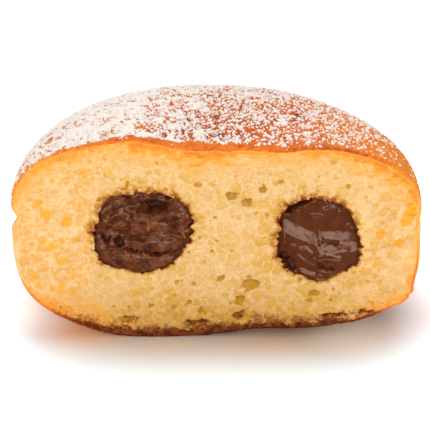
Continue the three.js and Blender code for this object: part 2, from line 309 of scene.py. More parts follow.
def triangularGrid(low, high, gap):  # every other row is moved along by half a gap
    rows = np.arange(low[1], high[1], gap * 0.866)  # the height of a triangle with equal sides
    x, z = np.meshgrid(np.arange(low[0], high[0], gap), rows)
    return x + (np.arange(len(rows)) % 2)[:, None] * gap / 2, z


def spread(low, high, gap, seed):  # the same grid with each point moved a little
    rng = np.random.default_rng(seed)
    loose = 0.22 * gap
    x, z = triangularGrid(low, high, gap)
    points = np.stack([x.ravel(), z.ravel()], 1)
    return points + rng.uniform(-loose, loose, points.shape)


def distanceTo(line, points):  # from points to the nearest of a dense line's points, both (x, z)
    tree = KDTree(len(line))
    for i, (x, z) in enumerate(line.tolist()):
        tree.insert((x, z, 0), i)
    tree.balance()
    return np.array([tree.find((x, z, 0))[2] for x, z in points.tolist()])


def newNode(tree, kind, settings=None, sockets=None):
    node = tree.nodes.new(kind)
    for key, value in (settings or {}).items():
        setattr(node, key, value)
    for key, value in (sockets or {}).items():
        value = getattr(value, "socket", value)
        if isinstance(value, bpy.types.NodeSocket):
            tree.links.new(value, node.inputs[key])
        else:
            node.inputs[key].default_value = value
    return node


class Wire:  # a socket that can be reckoned with
    def __init__(self, finish, socket):
        self.finish = finish
        self.socket = socket

    def math(self, operation, first, second):
        return self.finish.add("Math", {"operation": operation}, {0: first, 1: second})

    def __add__(self, other):
        return self.math("ADD", self, other)

    def __sub__(self, other):
        return self.math("SUBTRACT", self, other)

    def __rsub__(self, other):
        return self.math("SUBTRACT", other, self)

    def __mul__(self, other):
        return self.math("MULTIPLY", self, other)

    __radd__ = __add__
    __rmul__ = __mul__

    def power(self, other):
        return self.math("POWER", self, other)

    def least(self, other):
        return self.math("MINIMUM", self, other)

    def most(self, other):
        return self.math("MAXIMUM", self, other)

    def between(self, low, high):  # 0 at low, 1 at high, soft between
        sockets = {"Value": self, "From Min": low, "From Max": high}
        return self.finish.add("MapRange", {"interpolation_type": "SMOOTHSTEP"}, sockets)


def shade(red, green, blue):  # from what a screen shows to what the light does
    shown = (red / 255, green / 255, blue / 255)
    return tuple(c / 12.92 if c <= 0.04045 else ((c + 0.055) / 1.055)**2.4 for c in shown)


class Finish:
    def __init__(self, name, look=None):
        self.look = look
        self.material = bpy.data.materials.new(name)
        self.material.use_nodes = True
        self.tree = self.material.node_tree
        self.tree.nodes.clear()

    def add(self, kind, settings=None, sockets=None, out=0):
        node = newNode(self.tree, "ShaderNode" + kind, settings, sockets)
        return Wire(self, node.outputs[out] if node.outputs else None)

    def tint(self, colour):  # a name from the look, light's own red, green and blue, or a wire
        if isinstance(colour, str):
            colour = shade(*self.look[colour])
        return (*colour, 1) if isinstance(colour, tuple) else colour

    def mix(self, share, first, second, how="MIX"):
        sockets = {0: share, 6: self.tint(first), 7: self.tint(second)}
        return self.add("Mix", {"data_type": "RGBA", "blend_type": how}, sockets, 2)

    def coat(self, share, colour, how="MIX"):  # one more layer over what is there
        self.colour = self.mix(share, self.colour, colour, how)

    def ramp(self, value, name):
        wire = self.add("ValToRGB", None, {0: value})
        elements = wire.socket.node.color_ramp.elements
        while len(elements) < len(self.look[name]):
            elements.new(0.5)
        for element, (place, shown) in zip(elements, self.look[name]):
            element.position = place
            element.color = (*shade(*shown), 1)
        return wire

    def place(self):
        return self.add("TexCoord", out=3)

    def value(self, name):
        return self.add("Attribute", {"attribute_name": name}, out=2)

    def noise(self, scale, detail, roughness, vector=None):  # from -0.5 to 0.5
        sockets = {"Vector": vector or self.place(), "Scale": scale, "Detail": detail, "Roughness": roughness}
        return self.add("TexNoise", None, sockets) - 0.5

    def bump(self, height, strength, distance):
        return self.add("Bump", None, {"Strength": strength, "Distance": distance, "Height": height})

    def skin(self, sockets):
        sockets = {"Base Color": self.colour, **sockets}
        shader = self.add("BsdfPrincipled", {"subsurface_method": "RANDOM_WALK"}, sockets)
        self.add("OutputMaterial", None, {"Surface": shader})
        return self.material


studio = {
    "aim": (-0.00045, -0.011, 0.02665), "distance": 0.6, "elevation": 24.0, "lens": 234.42, "sensor": 36.0,
    "clip": (0.01, 20), "sky": 0.5, "floorSize": 8,
    # a painted shadow: the floor is darker and warmer close to the doughnut; further out it gives off a
    # little light, painted light that whitens the floor round that shadow
    "floorShadowColour": (0.82, 0.69, 0.58), "floorFar": (0.86, 0.87, 0.88), "floorFrom": 0.85, "floorTo": 1.42,
    "glowFar": (0.58, 0.62, 0.64), "glowFrom": 1.0, "glowTo": 2.3, "footprint": (0.0355, 0.0235),
    "footMiddle": (0.002, 0.003),
    # painted shadow and painted warm glow on the floor near the two ends: x, y, reach, the floor's darker
    # colour there, added painted light
    "floorShadeAndGlow": [
        (0.013, -0.010, 0.016, (0.86, 0.55, 0.34), (0.02, 0.005, 0)),
        (-0.030, -0.012, 0.014, (0.84, 0.52, 0.33), (0.28, 0.11, 0.03)),
        (-0.038, -0.003, 0.014, (0.87, 0.77, 0.7), (0.3, 0.24, 0.18)),
        (0.030, -0.013, 0.015, (0.86, 0.74, 0.62), (0.2, 0.14, 0.09)),
        (0.047, -0.006, 0.02, (0.72, 0.68, 0.64), (0, 0, 0)),
        (-0.050, -0.010, 0.018, (0.76, 0.74, 0.72), (0, 0, 0)),
    ],
    # degrees round to the right, degrees above the floor, distance, width, height, radiance, mirrored
    "boxes": {
        "topBox": (173, 66, 0.9, 0.75, 0.75, 3, False), "fillBox": (-14, 30, 0.9, 0.6, 0.6, 1, False),
        "leftWindow": (-21, 16, 0.8, 0.52, 0.22, 3, True),
        "rightWindow": (21, 16, 0.8, 0.52, 0.22, 3, True),
    },
}


def aimed(made, place, aim):
    made.location = place
    made.rotation_euler = (Vector(aim) - Vector(place)).to_track_quat("-Z", "Y").to_euler()
    bpy.context.scene.collection.objects.link(made)
    return made


def makeCamera():
    rise = math.radians(studio["elevation"])
    aim, far = Vector(studio["aim"]), studio["distance"]
    camera = bpy.data.cameras.new("camera")
    camera.lens = studio["lens"]
    camera.sensor_width = studio["sensor"]
    camera.clip_start, camera.clip_end = studio["clip"]
    place = aim + Vector((0, -far * math.cos(rise), far * math.sin(rise)))
    bpy.context.scene.camera = aimed(bpy.data.objects.new("camera", camera), place, aim)


def makeLights():
    world = bpy.data.worlds.new("studioSky")
    world.use_nodes = True
    sky = world.node_tree.nodes["Background"].inputs
    sky["Color"].default_value = (1, 1, 1, 1)
    sky["Strength"].default_value = studio["sky"]
    world.cycles_visibility.glossy = False
    bpy.context.scene.world = world
    aim = Vector(studio["aim"])
    for name, (across, above, distance, width, height, radiance, mirrored) in studio["boxes"].items():
        light = bpy.data.lights.new(name, "AREA")
        light.shape = "RECTANGLE"
        light.size = width
        light.size_y = height
        light.energy = radiance * math.pi * width * height
        side, up = math.radians(across), math.radians(above)
        away = Vector((math.sin(side) * math.cos(up), -math.cos(side) * math.cos(up), math.sin(up)))
        aimed(bpy.data.objects.new(name, light), aim + away * distance, aim).visible_glossy = mirrored


def makeFloor():
    finish = Finish("floorFinish")
    (wide, deep), (footX, footY) = studio["footprint"], studio["footMiddle"]
    scaled = finish.add("VectorMath", {"operation": "MULTIPLY_ADD"}, {
        0: finish.place(), 1: (1 / wide, 1 / deep, 0), 2: (-footX / wide, -footY / deep, 0)})
    across, ahead = (finish.add("SeparateXYZ", None, {0: scaled}, axis) for axis in (0, 1))
    away = ((across * across) * (across * across) + ahead * ahead).power(0.5)
    # painted shadow: darker and warmer near the doughnut, fading to the plain floor further out
    share = away.between(studio["floorFrom"], studio["floorTo"])
    finish.colour = finish.mix(share, studio["floorShadowColour"], studio["floorFar"])
    # painted light: the floor glows more the further it is from the doughnut
    glow = finish.mix(away.between(studio["glowFrom"], studio["glowTo"]), (0, 0, 0), studio["glowFar"])
    # painted shadow and painted warm glow on the floor near the doughnut's two ends
    for x, y, reach, tint, added in studio["floorShadeAndGlow"]:
        gap = finish.add("VectorMath", {"operation": "DISTANCE"}, {0: finish.place(), 1: (x, y, 0)}, 1)
        finish.coat(gap.between(reach, 0.0), tint)
        glow = finish.mix(gap.between(reach, 0.0), glow, added, "ADD")
    finish.skin({"Roughness": 0.9, "Specular IOR Level": 0.0,
                 "Emission Color": glow, "Emission Strength": 1.0})
    bpy.ops.mesh.primitive_plane_add(size=studio["floorSize"], location=(0, 0, 0))
    floor = bpy.context.object
    floor.name = "floor"
    floor.data.materials.append(finish.material)
    floor.visible_glossy = False


makeCamera()
makeLights()
makeFloor()
bpy.context.scene.view_settings.view_transform = "Standard"
bpy.context.scene.view_settings.look = "None"
print("studio ready")

# The dough: crust and crumb in one closed skin. Lengths are in mm.
crumb = {
    # between the points of the cut face
    "gap": 0.225,
    # points round the cut, rings over the lip and the body, points and rings of the pockets' walls
    "turns": 480, "lipRings": 5, "bodyRings": 58, "mouthPoints": 400, "wallRings": 7,
    # on the line that distances from the crust are measured from
    "rimPoints": 2400, "seed": 4,
    # how far the cells' walls wander
    "warp": 0.55, "fineWarp": 0.2,
    # soft cells: size, depth, weight in the colour, share that are open, seed
    "cells": [(2.8, 0.3, 0.6, 0.55, 11), (1.7, 0.28, 0.6, 0.55, 23), (0.95, 0.18, 0.5, 0.6, 37)],
    # small holes: size, depth, share in the middle, share at the left end, seed
    "holes": [(2.3, 0.55, 0.05, 0.2, 41), (1.3, 0.4, 0.05, 0.12, 43)],
    # drawn along the top crust, just inside it
    "fibres": {"long": 3.0, "high": 0.5, "depth": 0.06},
    # how ragged the mouths of the pockets are: in mm, then shares of slow waves, teeth and fine ones
    "jag": {"size": 0.62, "slow": 0.45, "leastTeeth": 0.2, "teeth": 1.1, "fine": 0.4},
    # how far the crumb laps over the cream
    "lap": 0.25,
    # how thick the walls between soft cells are, and how much of them is paler; then the finest grain
    "cellWall": 0.42, "paleWall": 0.26, "grain": 0.07,
    # browning of the outer skin, 0 pale to 1 dark
    "crust": {
        "collar": 0.14, "dome": 0.3, "crown": 0.1, "patches": 0.14, "spot": 0.14, "ridge": 0.12,
        "rightLess": 0.14, "belly": 0.62, "base": 0.38,
    },
    # a dent at the right end that has no golden band: x, z, half width, half height
    "paleDent": (40.8, 29, 1.5, 3.1),
    # a browner spot of the crust behind the top of the cut: x, y, half width, half depth
    "topSpot": (-6.5, 4, 3, 5),
    # the largest holes: x, z, half width, half height, depth, how brown inside
    "bigHoles": [
        (2.9, 33.3, 0.9, 0.9, 0.8, 0), (6.3, 31.7, 1.4, 1, 0.9, 0), (7.1, 12.4, 1.9, 1.2, 0.9, 0),
        (4.7, 8.4, 1, 1.3, 0.9, 0.15), (20.6, 10.3, 1.3, 0.7, 0.7, 0.1), (4.5, 5, 1.1, 1, 1.2, 0.9),
        (-19, 4.1, 2.4, 0.8, 1, 0.5), (-4.3, 3.2, 3, 0.9, 1, 0.7), (25, 5, 3.2, 0.7, 1.2, 1),
        (32.3, 6, 2.4, 0.6, 0.9, 1), (-38.2, 31.4, 1.1, 1.1, 0.5, 0), (-36.6, 28.9, 1.1, 1.2, 0.5, 0),
        (-31.9, 27.2, 1.2, 1.2, 0.6, 0), (34.7, 24.2, 0.9, 1, 0.6, 0), (38.6, 22.3, 1.1, 1, 0.6, 0),
        (9.5, 34.7, 0.8, 0.7, 0.6, 0), (0.8, 13.8, 0.7, 0.7, 0.6, 0), (-6, 8.4, 0.6, 0.5, 0.5, 0.2),
        (40.8, 29, 1.5, 3.1, 0.15, 0), (-30.3, 23, 1, 0.8, 0.5, 0), (-33.2, 17.9, 1, 0.8, 0.4, 0),
        (-39.1, 14.1, 1, 0.7, 0.4, 0),
    ],
    # how browned the edge of the cut is, by direction, and how wide the browning is
    "rimBrown": [
        (0, 0.36), (12, 0.42), (22, 0.58), (32, 0.7), (45, 0.7), (54, 0.63), (62, 0.57), (75, 0.6),
        (100, 0.61), (120, 0.62), (150, 0.54), (165, 0.45), (175, 0.4), (181, 0.28), (187, 0.02),
        (194, 0.1), (201, 0.45), (208, 0.56), (216, 0.7), (224, 0.92), (232, 1), (250, 1), (270, 1),
        (290, 1), (304, 1), (315, 1), (323, 1), (327, 0.85), (331, 0.55), (338, 0.5), (343, 0.55),
        (350, 0.46), (356, 0.36),
    ],
    "rimWidth": [
        (0, 0.35), (25, 0.35), (40, 0.4), (60, 0.45), (90, 0.5), (120, 0.5), (150, 0.4), (180, 0.3),
        (195, 0.45), (206, 1.2), (215, 1.5), (225, 1.5), (245, 1.6), (270, 1.6), (300, 1.5), (318, 1.5),
        (328, 1.2), (334, 0.6), (345, 0.35),
    ],
    # the golden band inside it, partly painted glow towards the two ends: its strength and its width
    "rimGold": [
        (0, 0.5), (12, 0.85), (22, 0.98), (32, 0.75), (45, 0.6), (60, 0.8), (90, 1.05), (130, 1),
        (155, 0.7), (178, 0.3), (188, 0.05), (196, 0.1), (210, 0.8), (220, 0.9), (235, 0.5), (260, 0),
        (300, 0), (318, 0.3), (327, 0.5), (335, 0.55), (343, 0.4), (351, 0.3),
    ],
    "goldWidth": [
        (0, 2.6), (15, 3), (30, 2.5), (60, 2.2), (90, 2.6), (120, 3), (150, 2.6), (180, 3.4), (214, 4),
        (240, 2), (300, 1.6), (320, 2.4), (335, 3.6), (350, 2.8),
    ],
    # where the crumb turns olive: x, z, half width, half height, strength
    "olivePatches": [
        (-16, 36.3, 7.5, 1.6, 0.8), (-6.5, 32.8, 1.6, 1.4, 0.6), (13.2, 29.3, 1.9, 3.6, 1),
        (12.4, 24, 1.4, 1.8, 0.9), (12.6, 17.8, 1.6, 1.6, 0.8), (20.5, 34.8, 6, 1.3, 0.6),
        (6, 31.9, 3.6, 1.8, 0.6), (-8, 9, 11, 3.6, 0.7), (5, 10, 5, 5, 0.6), (0, 5, 26, 3, 0.8),
        (-5, 17.2, 3, 2.4, 0.5), (21, 9, 10, 3, 0.5), (-27.2, 26, 1.2, 4, 0.7), (-4, 26.5, 1.4, 4.5, 0.8),
        (28.5, 12.8, 3, 0.9, 0.5), (10, 17, 5, 3, 0.5),
    ],
}


def crumbForm(x, z, edge, turn):  # edge is the distance from the crust, turn the direction in degrees
    warp, fineWarp, fibres = crumb["warp"], crumb["fineWarp"], crumb["fibres"]
    wx = x + warp * roughNoise(x / 1.5, z / 1.5, 3) + fineWarp * roughNoise(x / 0.5, z / 0.5, 5, 2)
    wz = z + warp * roughNoise(x / 1.5, z / 1.5, 4) + fineWarp * roughNoise(x / 0.5, z / 0.5, 6, 2)
    leftEnd = step(-24, -31, x)
    upper = step(0.1, 0.6, np.sin(np.radians(turn)))
    nearRim = step(7, 2.5, edge) * upper
    # holes and open cells come in groups
    crowd = step(-0.5, 0.5, roughNoise(x / 5, z / 5, 9, 2)) * (1 - 0.2 * step(10, 5, edge) * upper)
    depth, pore, wall, hole, holeEdgeShade, inside = (np.zeros(x.shape) for _ in range(6))
    for size, deep, weight, openShare, seed in crumb["cells"]:
        near, far, pick = cellPattern(wx / size, wz / size * 1.12, seed)
        share = openShare * (0.45 + 0.9 * crowd)
        opened = np.clip((share - pick) / share, 0, 1)**0.6
        hollow = smooth((far - near) / crumb["cellWall"]) * step(0.85, 0.2, near)
        depth = depth + deep * opened * hollow
        pore = pore + weight * opened * hollow
        wall = wall + (1 - smooth((far - near) / crumb["paleWall"])) * weight
    faint = 1 - leftEnd * step(0.2, -0.6, roughNoise(x / 2, z / 2, 8)) * 0.6
    for size, deep, share, leftShare, seed in crumb["holes"]:
        near, far, pick = cellPattern(wx / size, wz / size * 1.2, seed)
        share = blend(share, leftShare, leftEnd) * (0.4 + 1.2 * crowd)
        reach = 0.3 + 0.24 * pick / share
        hollow = step(1.1, 0.4, near / reach) * (pick < share)
        depth = np.maximum(depth, deep * hollow)
        hole = np.maximum(hole, hollow * (0.6 + 0.4 * pick / share) * faint)
    along = np.radians(turn) * np.hypot(x, z - doughnut["collarHeight"])
    streak = roughNoise(along / fibres["long"] + 0.3 * wz, edge / fibres["high"] + 0.4 * wx / 3, 51, 3, 0.7)
    depth = blend(depth, depth * 0.6 + fibres["depth"] * (0.5 + 0.5 * streak), nearRim)
    pore = blend(pore, pore * 0.6 + 0.5 * step(0.0, 0.6, streak), nearRim)
    hole = hole * (1 - nearRim * step(3, 1.5, edge))
    grain = roughNoise(x / 0.55, z / 0.5, 97, 2)
    depth = depth * (1 - 0.5 * step(-18, -28, x)) + crumb["grain"] * grain
    for middleX, middleZ, halfWidth, halfHeight, deep, stain in crumb["bigHoles"]:
        up = (wz - middleZ) / halfHeight
        away = (((wx - middleX - 0.25 * (wz - middleZ)) / halfWidth)**2)**1.4 + (up**2)**1.4
        away = away**0.36 + 0.12 * roughNoise(x / 0.9, z / 0.8, 99, 2)
        floor = 0.35 + 0.65 * step(-0.9, 0.8, up)  # deepest under its upper edge
        depth = np.maximum(depth, deep * step(1.12, 0.75, away) * floor * (1 + 0.25 * grain))
        hole = np.maximum(hole, step(1.1, 0.7, away) * (0.85 + 0.3 * grain))
        # painted shade in a thin band just under each big hole's upper edge
        under = step(1.25, 0.95, away) * step(0.35, 0.95, away) * step(-0.3, 0.9, up)
        holeEdgeShade = np.maximum(holeEdgeShade, under * (1 - leftEnd) * step(34, 28, middleX))
        browned = stain * step(1.25, 0.6, away) * (0.8 + 0.5 * roughNoise(x / 0.8, z / 0.5, 100, 2))
        inside = np.maximum(inside, browned)
    fade = step(0.0, 0.7, edge)
    tone = np.clip(0.45 - 0.7 * leftEnd - 0.35 * step(24, 33, x), 0, 1)  # 0 bright yellow, 1 dark olive; the bright yellow at the two ends is partly painted glow of light through the thin dough
    form = {"pore": pore, "hole": hole, "wall": wall, "holeEdgeShade": holeEdgeShade, "depth": depth, "inside": inside}
    return {**{key: value * fade for key, value in form.items()}, "streak": streak * nearRim, "tone": tone,
            "fibre": nearRim}


def mouthLine(pocket, turn):  # the crumb's jagged edge round the cream, in mm beyond the pocket's outline
    spikes = sum(high * np.exp(-(degreesFrom(turn, at) / wide)**2) for at, wide, high in pocket["spikes"])
    slow = roundNoise(turn, 7, 71, 2)
    size = step(-0.3, 0.7, roundNoise(turn, 4, 72))
    teeth = np.abs(roundNoise(turn, 11, 73, shift=40)) - 0.4
    fine = roundNoise(turn, 21, 75, 2, 0.7, shift=80)
    jag = crumb["jag"]
    mixed = jag["slow"] * slow + (jag["leastTeeth"] + jag["teeth"] * size) * teeth + jag["fine"] * fine
    return spikes - crumb["lap"] + jag["size"] * mixed


# the crumb's own browner layer under the crust, towards the two ends partly painted glow of light through the
# thin dough
def goldenBand(x, z, edge, turn, form):
    along = np.radians(turn) * np.hypot(x, z - doughnut["collarHeight"])
    streak = roughNoise(along / 2.2, edge / 0.3 + 0.3 * x / 3, 53, 3, 0.7)
    gold = roundCurve(crumb["rimGold"], turn) * np.exp(-edge / roundCurve(crumb["goldWidth"], turn))
    gold = gold * (1 + 0.3 * form["streak"] + 0.45 * streak + 0.6 * roughNoise(x / 1.6, z / 1.6, 54, 2))
    return gold * step(0.9, 1.3, inOval(x + 0.6 * roughNoise(x / 1.2, z / 1.2, 68), z, *crumb["paleDent"]))


def creamSmear(x, z):  # cream on the crumb round the two mouths
    smear = np.zeros(x.shape)
    for pocket in pockets.values():
        least, more, turned = pocket["halo"]
        away, at, radius = pocketPolar(pocket, x, z)
        beyond = away - radius - mouthLine(pocket, at)
        spokes = roundNoise(at, 17, 69, 2, shift=beyond / 2)
        strength = 0.9 + 0.14 * spokes + 0.6 * roughNoise(x / 1.3, z / 1.3, 70, 3, 0.7)
        reach = least + more * step(-0.7, 0.8, np.sin(at - math.radians(turned)))
        smear = np.maximum(smear, np.clip(1 - beyond / reach, 0, 1) * strength)
    return smear


def faceValues(x, z, edge, turn, form):  # what doughFinish reads at the points of the cut face
    ragged = roughNoise(x / 0.9, z / 0.7, 61) + 0.6 * roughNoise(x / 3.5, z / 3.5, 62)
    rise = np.sin(np.radians(turn))
    low = step(-0.35, -0.75, rise)  # torn and speckled above the bottom crust
    width = np.maximum(0.12, roundCurve(crumb["rimWidth"], turn) * (1 + 0.9 * ragged))
    thin = np.where(x < 0, step(-0.6, -0.85, rise), low)
    brown = roundCurve(crumb["rimBrown"], turn) * blend(np.exp(-edge / width), step(0.5, 0.1, edge), thin)
    burnt = np.maximum(low * np.exp(-(edge / width)**1.4), 0.8 * form["inside"])
    burnt = burnt * blend(1, 0.85, step(8, 24, x))
    torn = low * step(5.4, 0.8, edge + 0.9 * ragged) * step(-0.8, 0.3, roughNoise(x / 3, z / 2, 67))
    olive = np.zeros(x.shape)
    for *oval, strength in crumb["olivePatches"]:
        olive = np.maximum(olive, strength * step(1.3, 0.3, inOval(x, z, *oval)))
    # painted shade, with some of the crumb's own olive tint: darker and yellower towards the bottom middle,
    # less at the two ends
    shadeAndOliveBelow = step(14, 2, z + 1.5 * roughNoise(x / 4, z / 3, 79))
    shadeAndOliveBelow = shadeAndOliveBelow * blend(0.1, 1, step(-34, -20, x)) * blend(1, 0.5, step(18, 34, x))
    none = np.zeros(x.shape)
    return {"brown": brown, "burnt": burnt, "gold": goldenBand(x, z, edge, turn, form),
            "olive": olive * step(-0.6, 0.3, roughNoise(x / 1.8, z / 1.3, 77)),
            "torn": np.maximum(torn, 1.1 * form["inside"]), "smear": creamSmear(x, z), "shadeAndOliveBelow": shadeAndOliveBelow,
            "sugar": none, "outside": none, "grains": none,
            **{key: form[key] for key in ("pore", "hole", "tone", "wall", "holeEdgeShade", "fibre")}}


def skinRings(lip, back):  # from the cut over its lip to the back: behind the cut, inward, and along the skin
    rings = []
    for ring in range(1, crumb["lipRings"] + 1):
        bend = math.pi / 2 * ring / crumb["lipRings"]
        rings.append((lip * (1 - math.cos(bend)), lip * (1 - math.sin(bend)), lip * bend))
    first = np.arcsin((lip - doughnut["cutOffset"]) / back)
    for ring in range(1, crumb["bodyRings"]):
        behind = back * np.sin(blend(first, np.pi / 2, ring / crumb["bodyRings"])) + doughnut["cutOffset"]
        rings.append((behind, 0, behind + lip * 0.57))  # the way round the lip is that much longer
    return rings


def makeDough(material):
    turns = np.linspace(0, 2 * np.pi, crumb["turns"], endpoint=False)
    rim = skinPoint(turns, 0, lipRadius(turns) + rimJag(turns, 0))
    collar = doughnut["collarHeight"]
    rimTurn = np.unwrap(np.arctan2(rim[:, 2] - collar, rim[:, 0]))
    rimReach = np.hypot(rim[:, 0], rim[:, 2] - collar)

    def rimAt(x, z):
        turn = np.mod(np.arctan2(z - collar, x) - rimTurn[0], 2 * np.pi) + rimTurn[0]
        return np.interp(turn, [*rimTurn, rimTurn[0] + 2 * np.pi], [*rimReach, rimReach[0]])

    mouthTurns = np.linspace(0, 2 * np.pi, crumb["mouthPoints"], endpoint=False)
    loops = [rim[:, [0, 2]]]
    for pocket in pockets.values():
        radius = pocketRadius(pocket, mouthTurns) + mouthLine(pocket, mouthTurns)
        loops.append(np.stack([pocket["x"] + radius * np.cos(mouthTurns),
                               pocket["z"] + radius * np.sin(mouthTurns)], 1))

    def inside(x, z, margin=0.0):
        kept = np.hypot(x, z - collar) < rimAt(x, z) - margin
        for pocket in pockets.values():
            away, turn, radius = pocketPolar(pocket, x, z)
            kept &= away > radius + mouthLine(pocket, turn) + margin
        return kept

    inner = spread((-46, -1), (46, 50), crumb["gap"], crumb["seed"])
    inner = inner[inside(inner[:, 0], inner[:, 1], 0.12)]
    faces = [flatFill(loops, inner, inside)]
    flat = np.concatenate([*loops, inner])
    x, z = flat[:, 0], flat[:, 1]
    allRound = np.linspace(0, 2 * np.pi, crumb["rimPoints"])
    dense = skinPoint(allRound, 0, lipRadius(allRound) + rimJag(allRound, 0))[:, [0, 2]]
    edge = distanceTo(dense, flat)
    share = np.clip(np.hypot(x, z - collar) / rimAt(x, z), 0, 1)
    turn = np.degrees(np.arctan2(z - collar, x))
    form = crumbForm(x, z, edge, turn)
    y = -doughnut["cutOffset"] + faceRelief(x, z) * (1 - share**6) + form["depth"]
    points = [np.stack([x, y, z], 1)]
    values = {key: [value] for key, value in faceValues(x, z, edge, turn, form).items()}
    count = len(flat)

    def addRows(rows, **given):
        nonlocal count
        points.append(rows)
        for key in values:
            values[key].append(np.broadcast_to(given.get(key, 0.0), len(rows)))
        count += len(rows)
        return np.arange(count - len(rows), count)

    last = np.arange(len(turns))
    back = doughnut["radius"] * doughnut["depthShare"]
    for behind, inward, along in skinRings(lipRadius(turns), back):
        rows = skinPoint(turns, behind, inward + rimJag(turns, behind))
        rings = addRows(rows, brown=skinBrown(rows, turns, along), sugar=sugarCover(rows, turns, along),
                        grains=looseShare(rows, turns, along), outside=step(0.2, 1.4, along))
        faces.append(stripBetween(last, rings))
        last = rings
    tip = np.array([[0, back, collar]])
    pole = addRows(tip, brown=skinBrown(tip, np.zeros(1), np.array([back])), outside=1.0)
    faces.append(np.stack([last, np.repeat(pole, len(last)), np.roll(last, -1)], 1))

    start = len(turns)
    for pocket in pockets.values():
        last = start + np.arange(crumb["mouthPoints"])
        start += crumb["mouthPoints"]
        for ring in range(1, crumb["wallRings"] + 1):
            share = math.sin(math.pi / 2 * (ring / (crumb["wallRings"] + 1))**1.6)
            rings = addRows(pocketRing(pocket, mouthTurns, share, doughnut["pocketGap"]), smear=2.0)
            faces.append(stripBetween(rings, last))
            last = rings
        end = pocket["depth"] + doughnut["pocketGap"] - doughnut["cutOffset"]
        pole = addRows(np.array([[pocket["x"], end, pocket["z"]]]), smear=2.0)
        faces.append(np.stack([last, np.roll(last, -1), np.repeat(pole, len(last))], 1))
    made = makeMesh("dough_body", np.concatenate(points), np.concatenate(faces), material,
                    {key: np.concatenate(rows) for key, rows in values.items()})
    print("dough:", len(made.data.polygons), "triangles")
    return made


def skinBrown(rows, turns, along):  # browning of the outer skin: crust above, pale collar, darker underside
    x, y, z = rows.T
    line = creaseHeight(y + doughnut["cutOffset"])
    wander = 1.1 * roughNoise(np.arctan2(y, x) * 5, z / 6, 81)
    crust = crumb["crust"]
    top = crust["collar"] + crust["dome"] * step(line - 1.6, line + 3.4, z + wander)
    top = top + crust["crown"] * step(line + 3, line + 12, z + wander)
    top = top + crust["patches"] * step(0.25, 0.8, roughNoise(x / 6, y / 6, 82)) * step(38, 42, z)
    spotX, spotY, halfWidth, halfDepth = crumb["topSpot"]
    spot = np.exp(-((x - spotX) / halfWidth)**2 - ((y - spotY) / halfDepth)**2)
    top = top + crust["spot"] * spot * step(36, 40, z)
    ridge = np.exp(-((x - 2) / 17)**2) * step(35, 40, z)
    top = top + crust["ridge"] * ridge * step(2, 4, along)  # not on the lip
    top = top * (1 - crust["rightLess"] * step(16, 38, x))
    bottom = crust["belly"] * step(20, 12, z + wander) + crust["base"] * step(8, 2.5, z + wander)
    behind = np.maximum(top, bottom) + 0.02
    degrees = np.mod(np.degrees(turns), 360)
    bare = step(324, 329, degrees) * step(343, 339, degrees)  # the crumb shows round this corner
    reach = along - 1.3 * bare + 0.5 * roughNoise(x / 1.2, z / 3, 83)
    return blend(roundCurve(crumb["rimBrown"], degrees), behind, step(0.0, 1.6, reach))


# Colours of the dough, as a screen shows them.
doughLook = {
    "strandLeft": (233, 190, 132), "strand": (223, 181, 124), "strandPatch": (218, 169, 101),
    "strandCloud": (230, 174, 96), "cellLeft": (228, 168, 80), "cell": (222, 174, 80),
    "olive": (202, 158, 50), "thread": (224, 158, 76), "light": (238, 206, 157), "holeEdgeShade": (138, 76, 8),
    "dim": (178, 128, 50), "hair": (240, 206, 150), "fleck": (122, 62, 18), "paleFleck": (172, 108, 40),
    "rind": (88, 29, 3), "paleRind": (144, 66, 14), "damp": (208, 156, 56), "stain": (134, 56, 14),
    "paleStain": (180, 98, 28), "chocolate": (84, 30, 8), "dusting": (246, 222, 202),
    # inside the holes, from bright yellow to dark olive
    "ripe": [(0, (247, 168, 16)), (0.4, (200, 140, 16)), (0.75, (172, 116, 14)), (1, (140, 86, 20))],
    # the golden band, by strength
    "band": [(0, (230, 182, 110)), (0.35, (234, 164, 64)), (0.65, (230, 142, 38)), (1, (222, 120, 26))],
    # the outer skin, by browning
    "toast": [(0, (250, 208, 140)), (0.14, (250, 202, 128)), (0.28, (248, 172, 62)), (0.45, (241, 142, 46)),
              (0.6, (219, 108, 36)), (0.75, (176, 78, 26)), (0.88, (122, 54, 17)), (1, (80, 31, 8))],
}


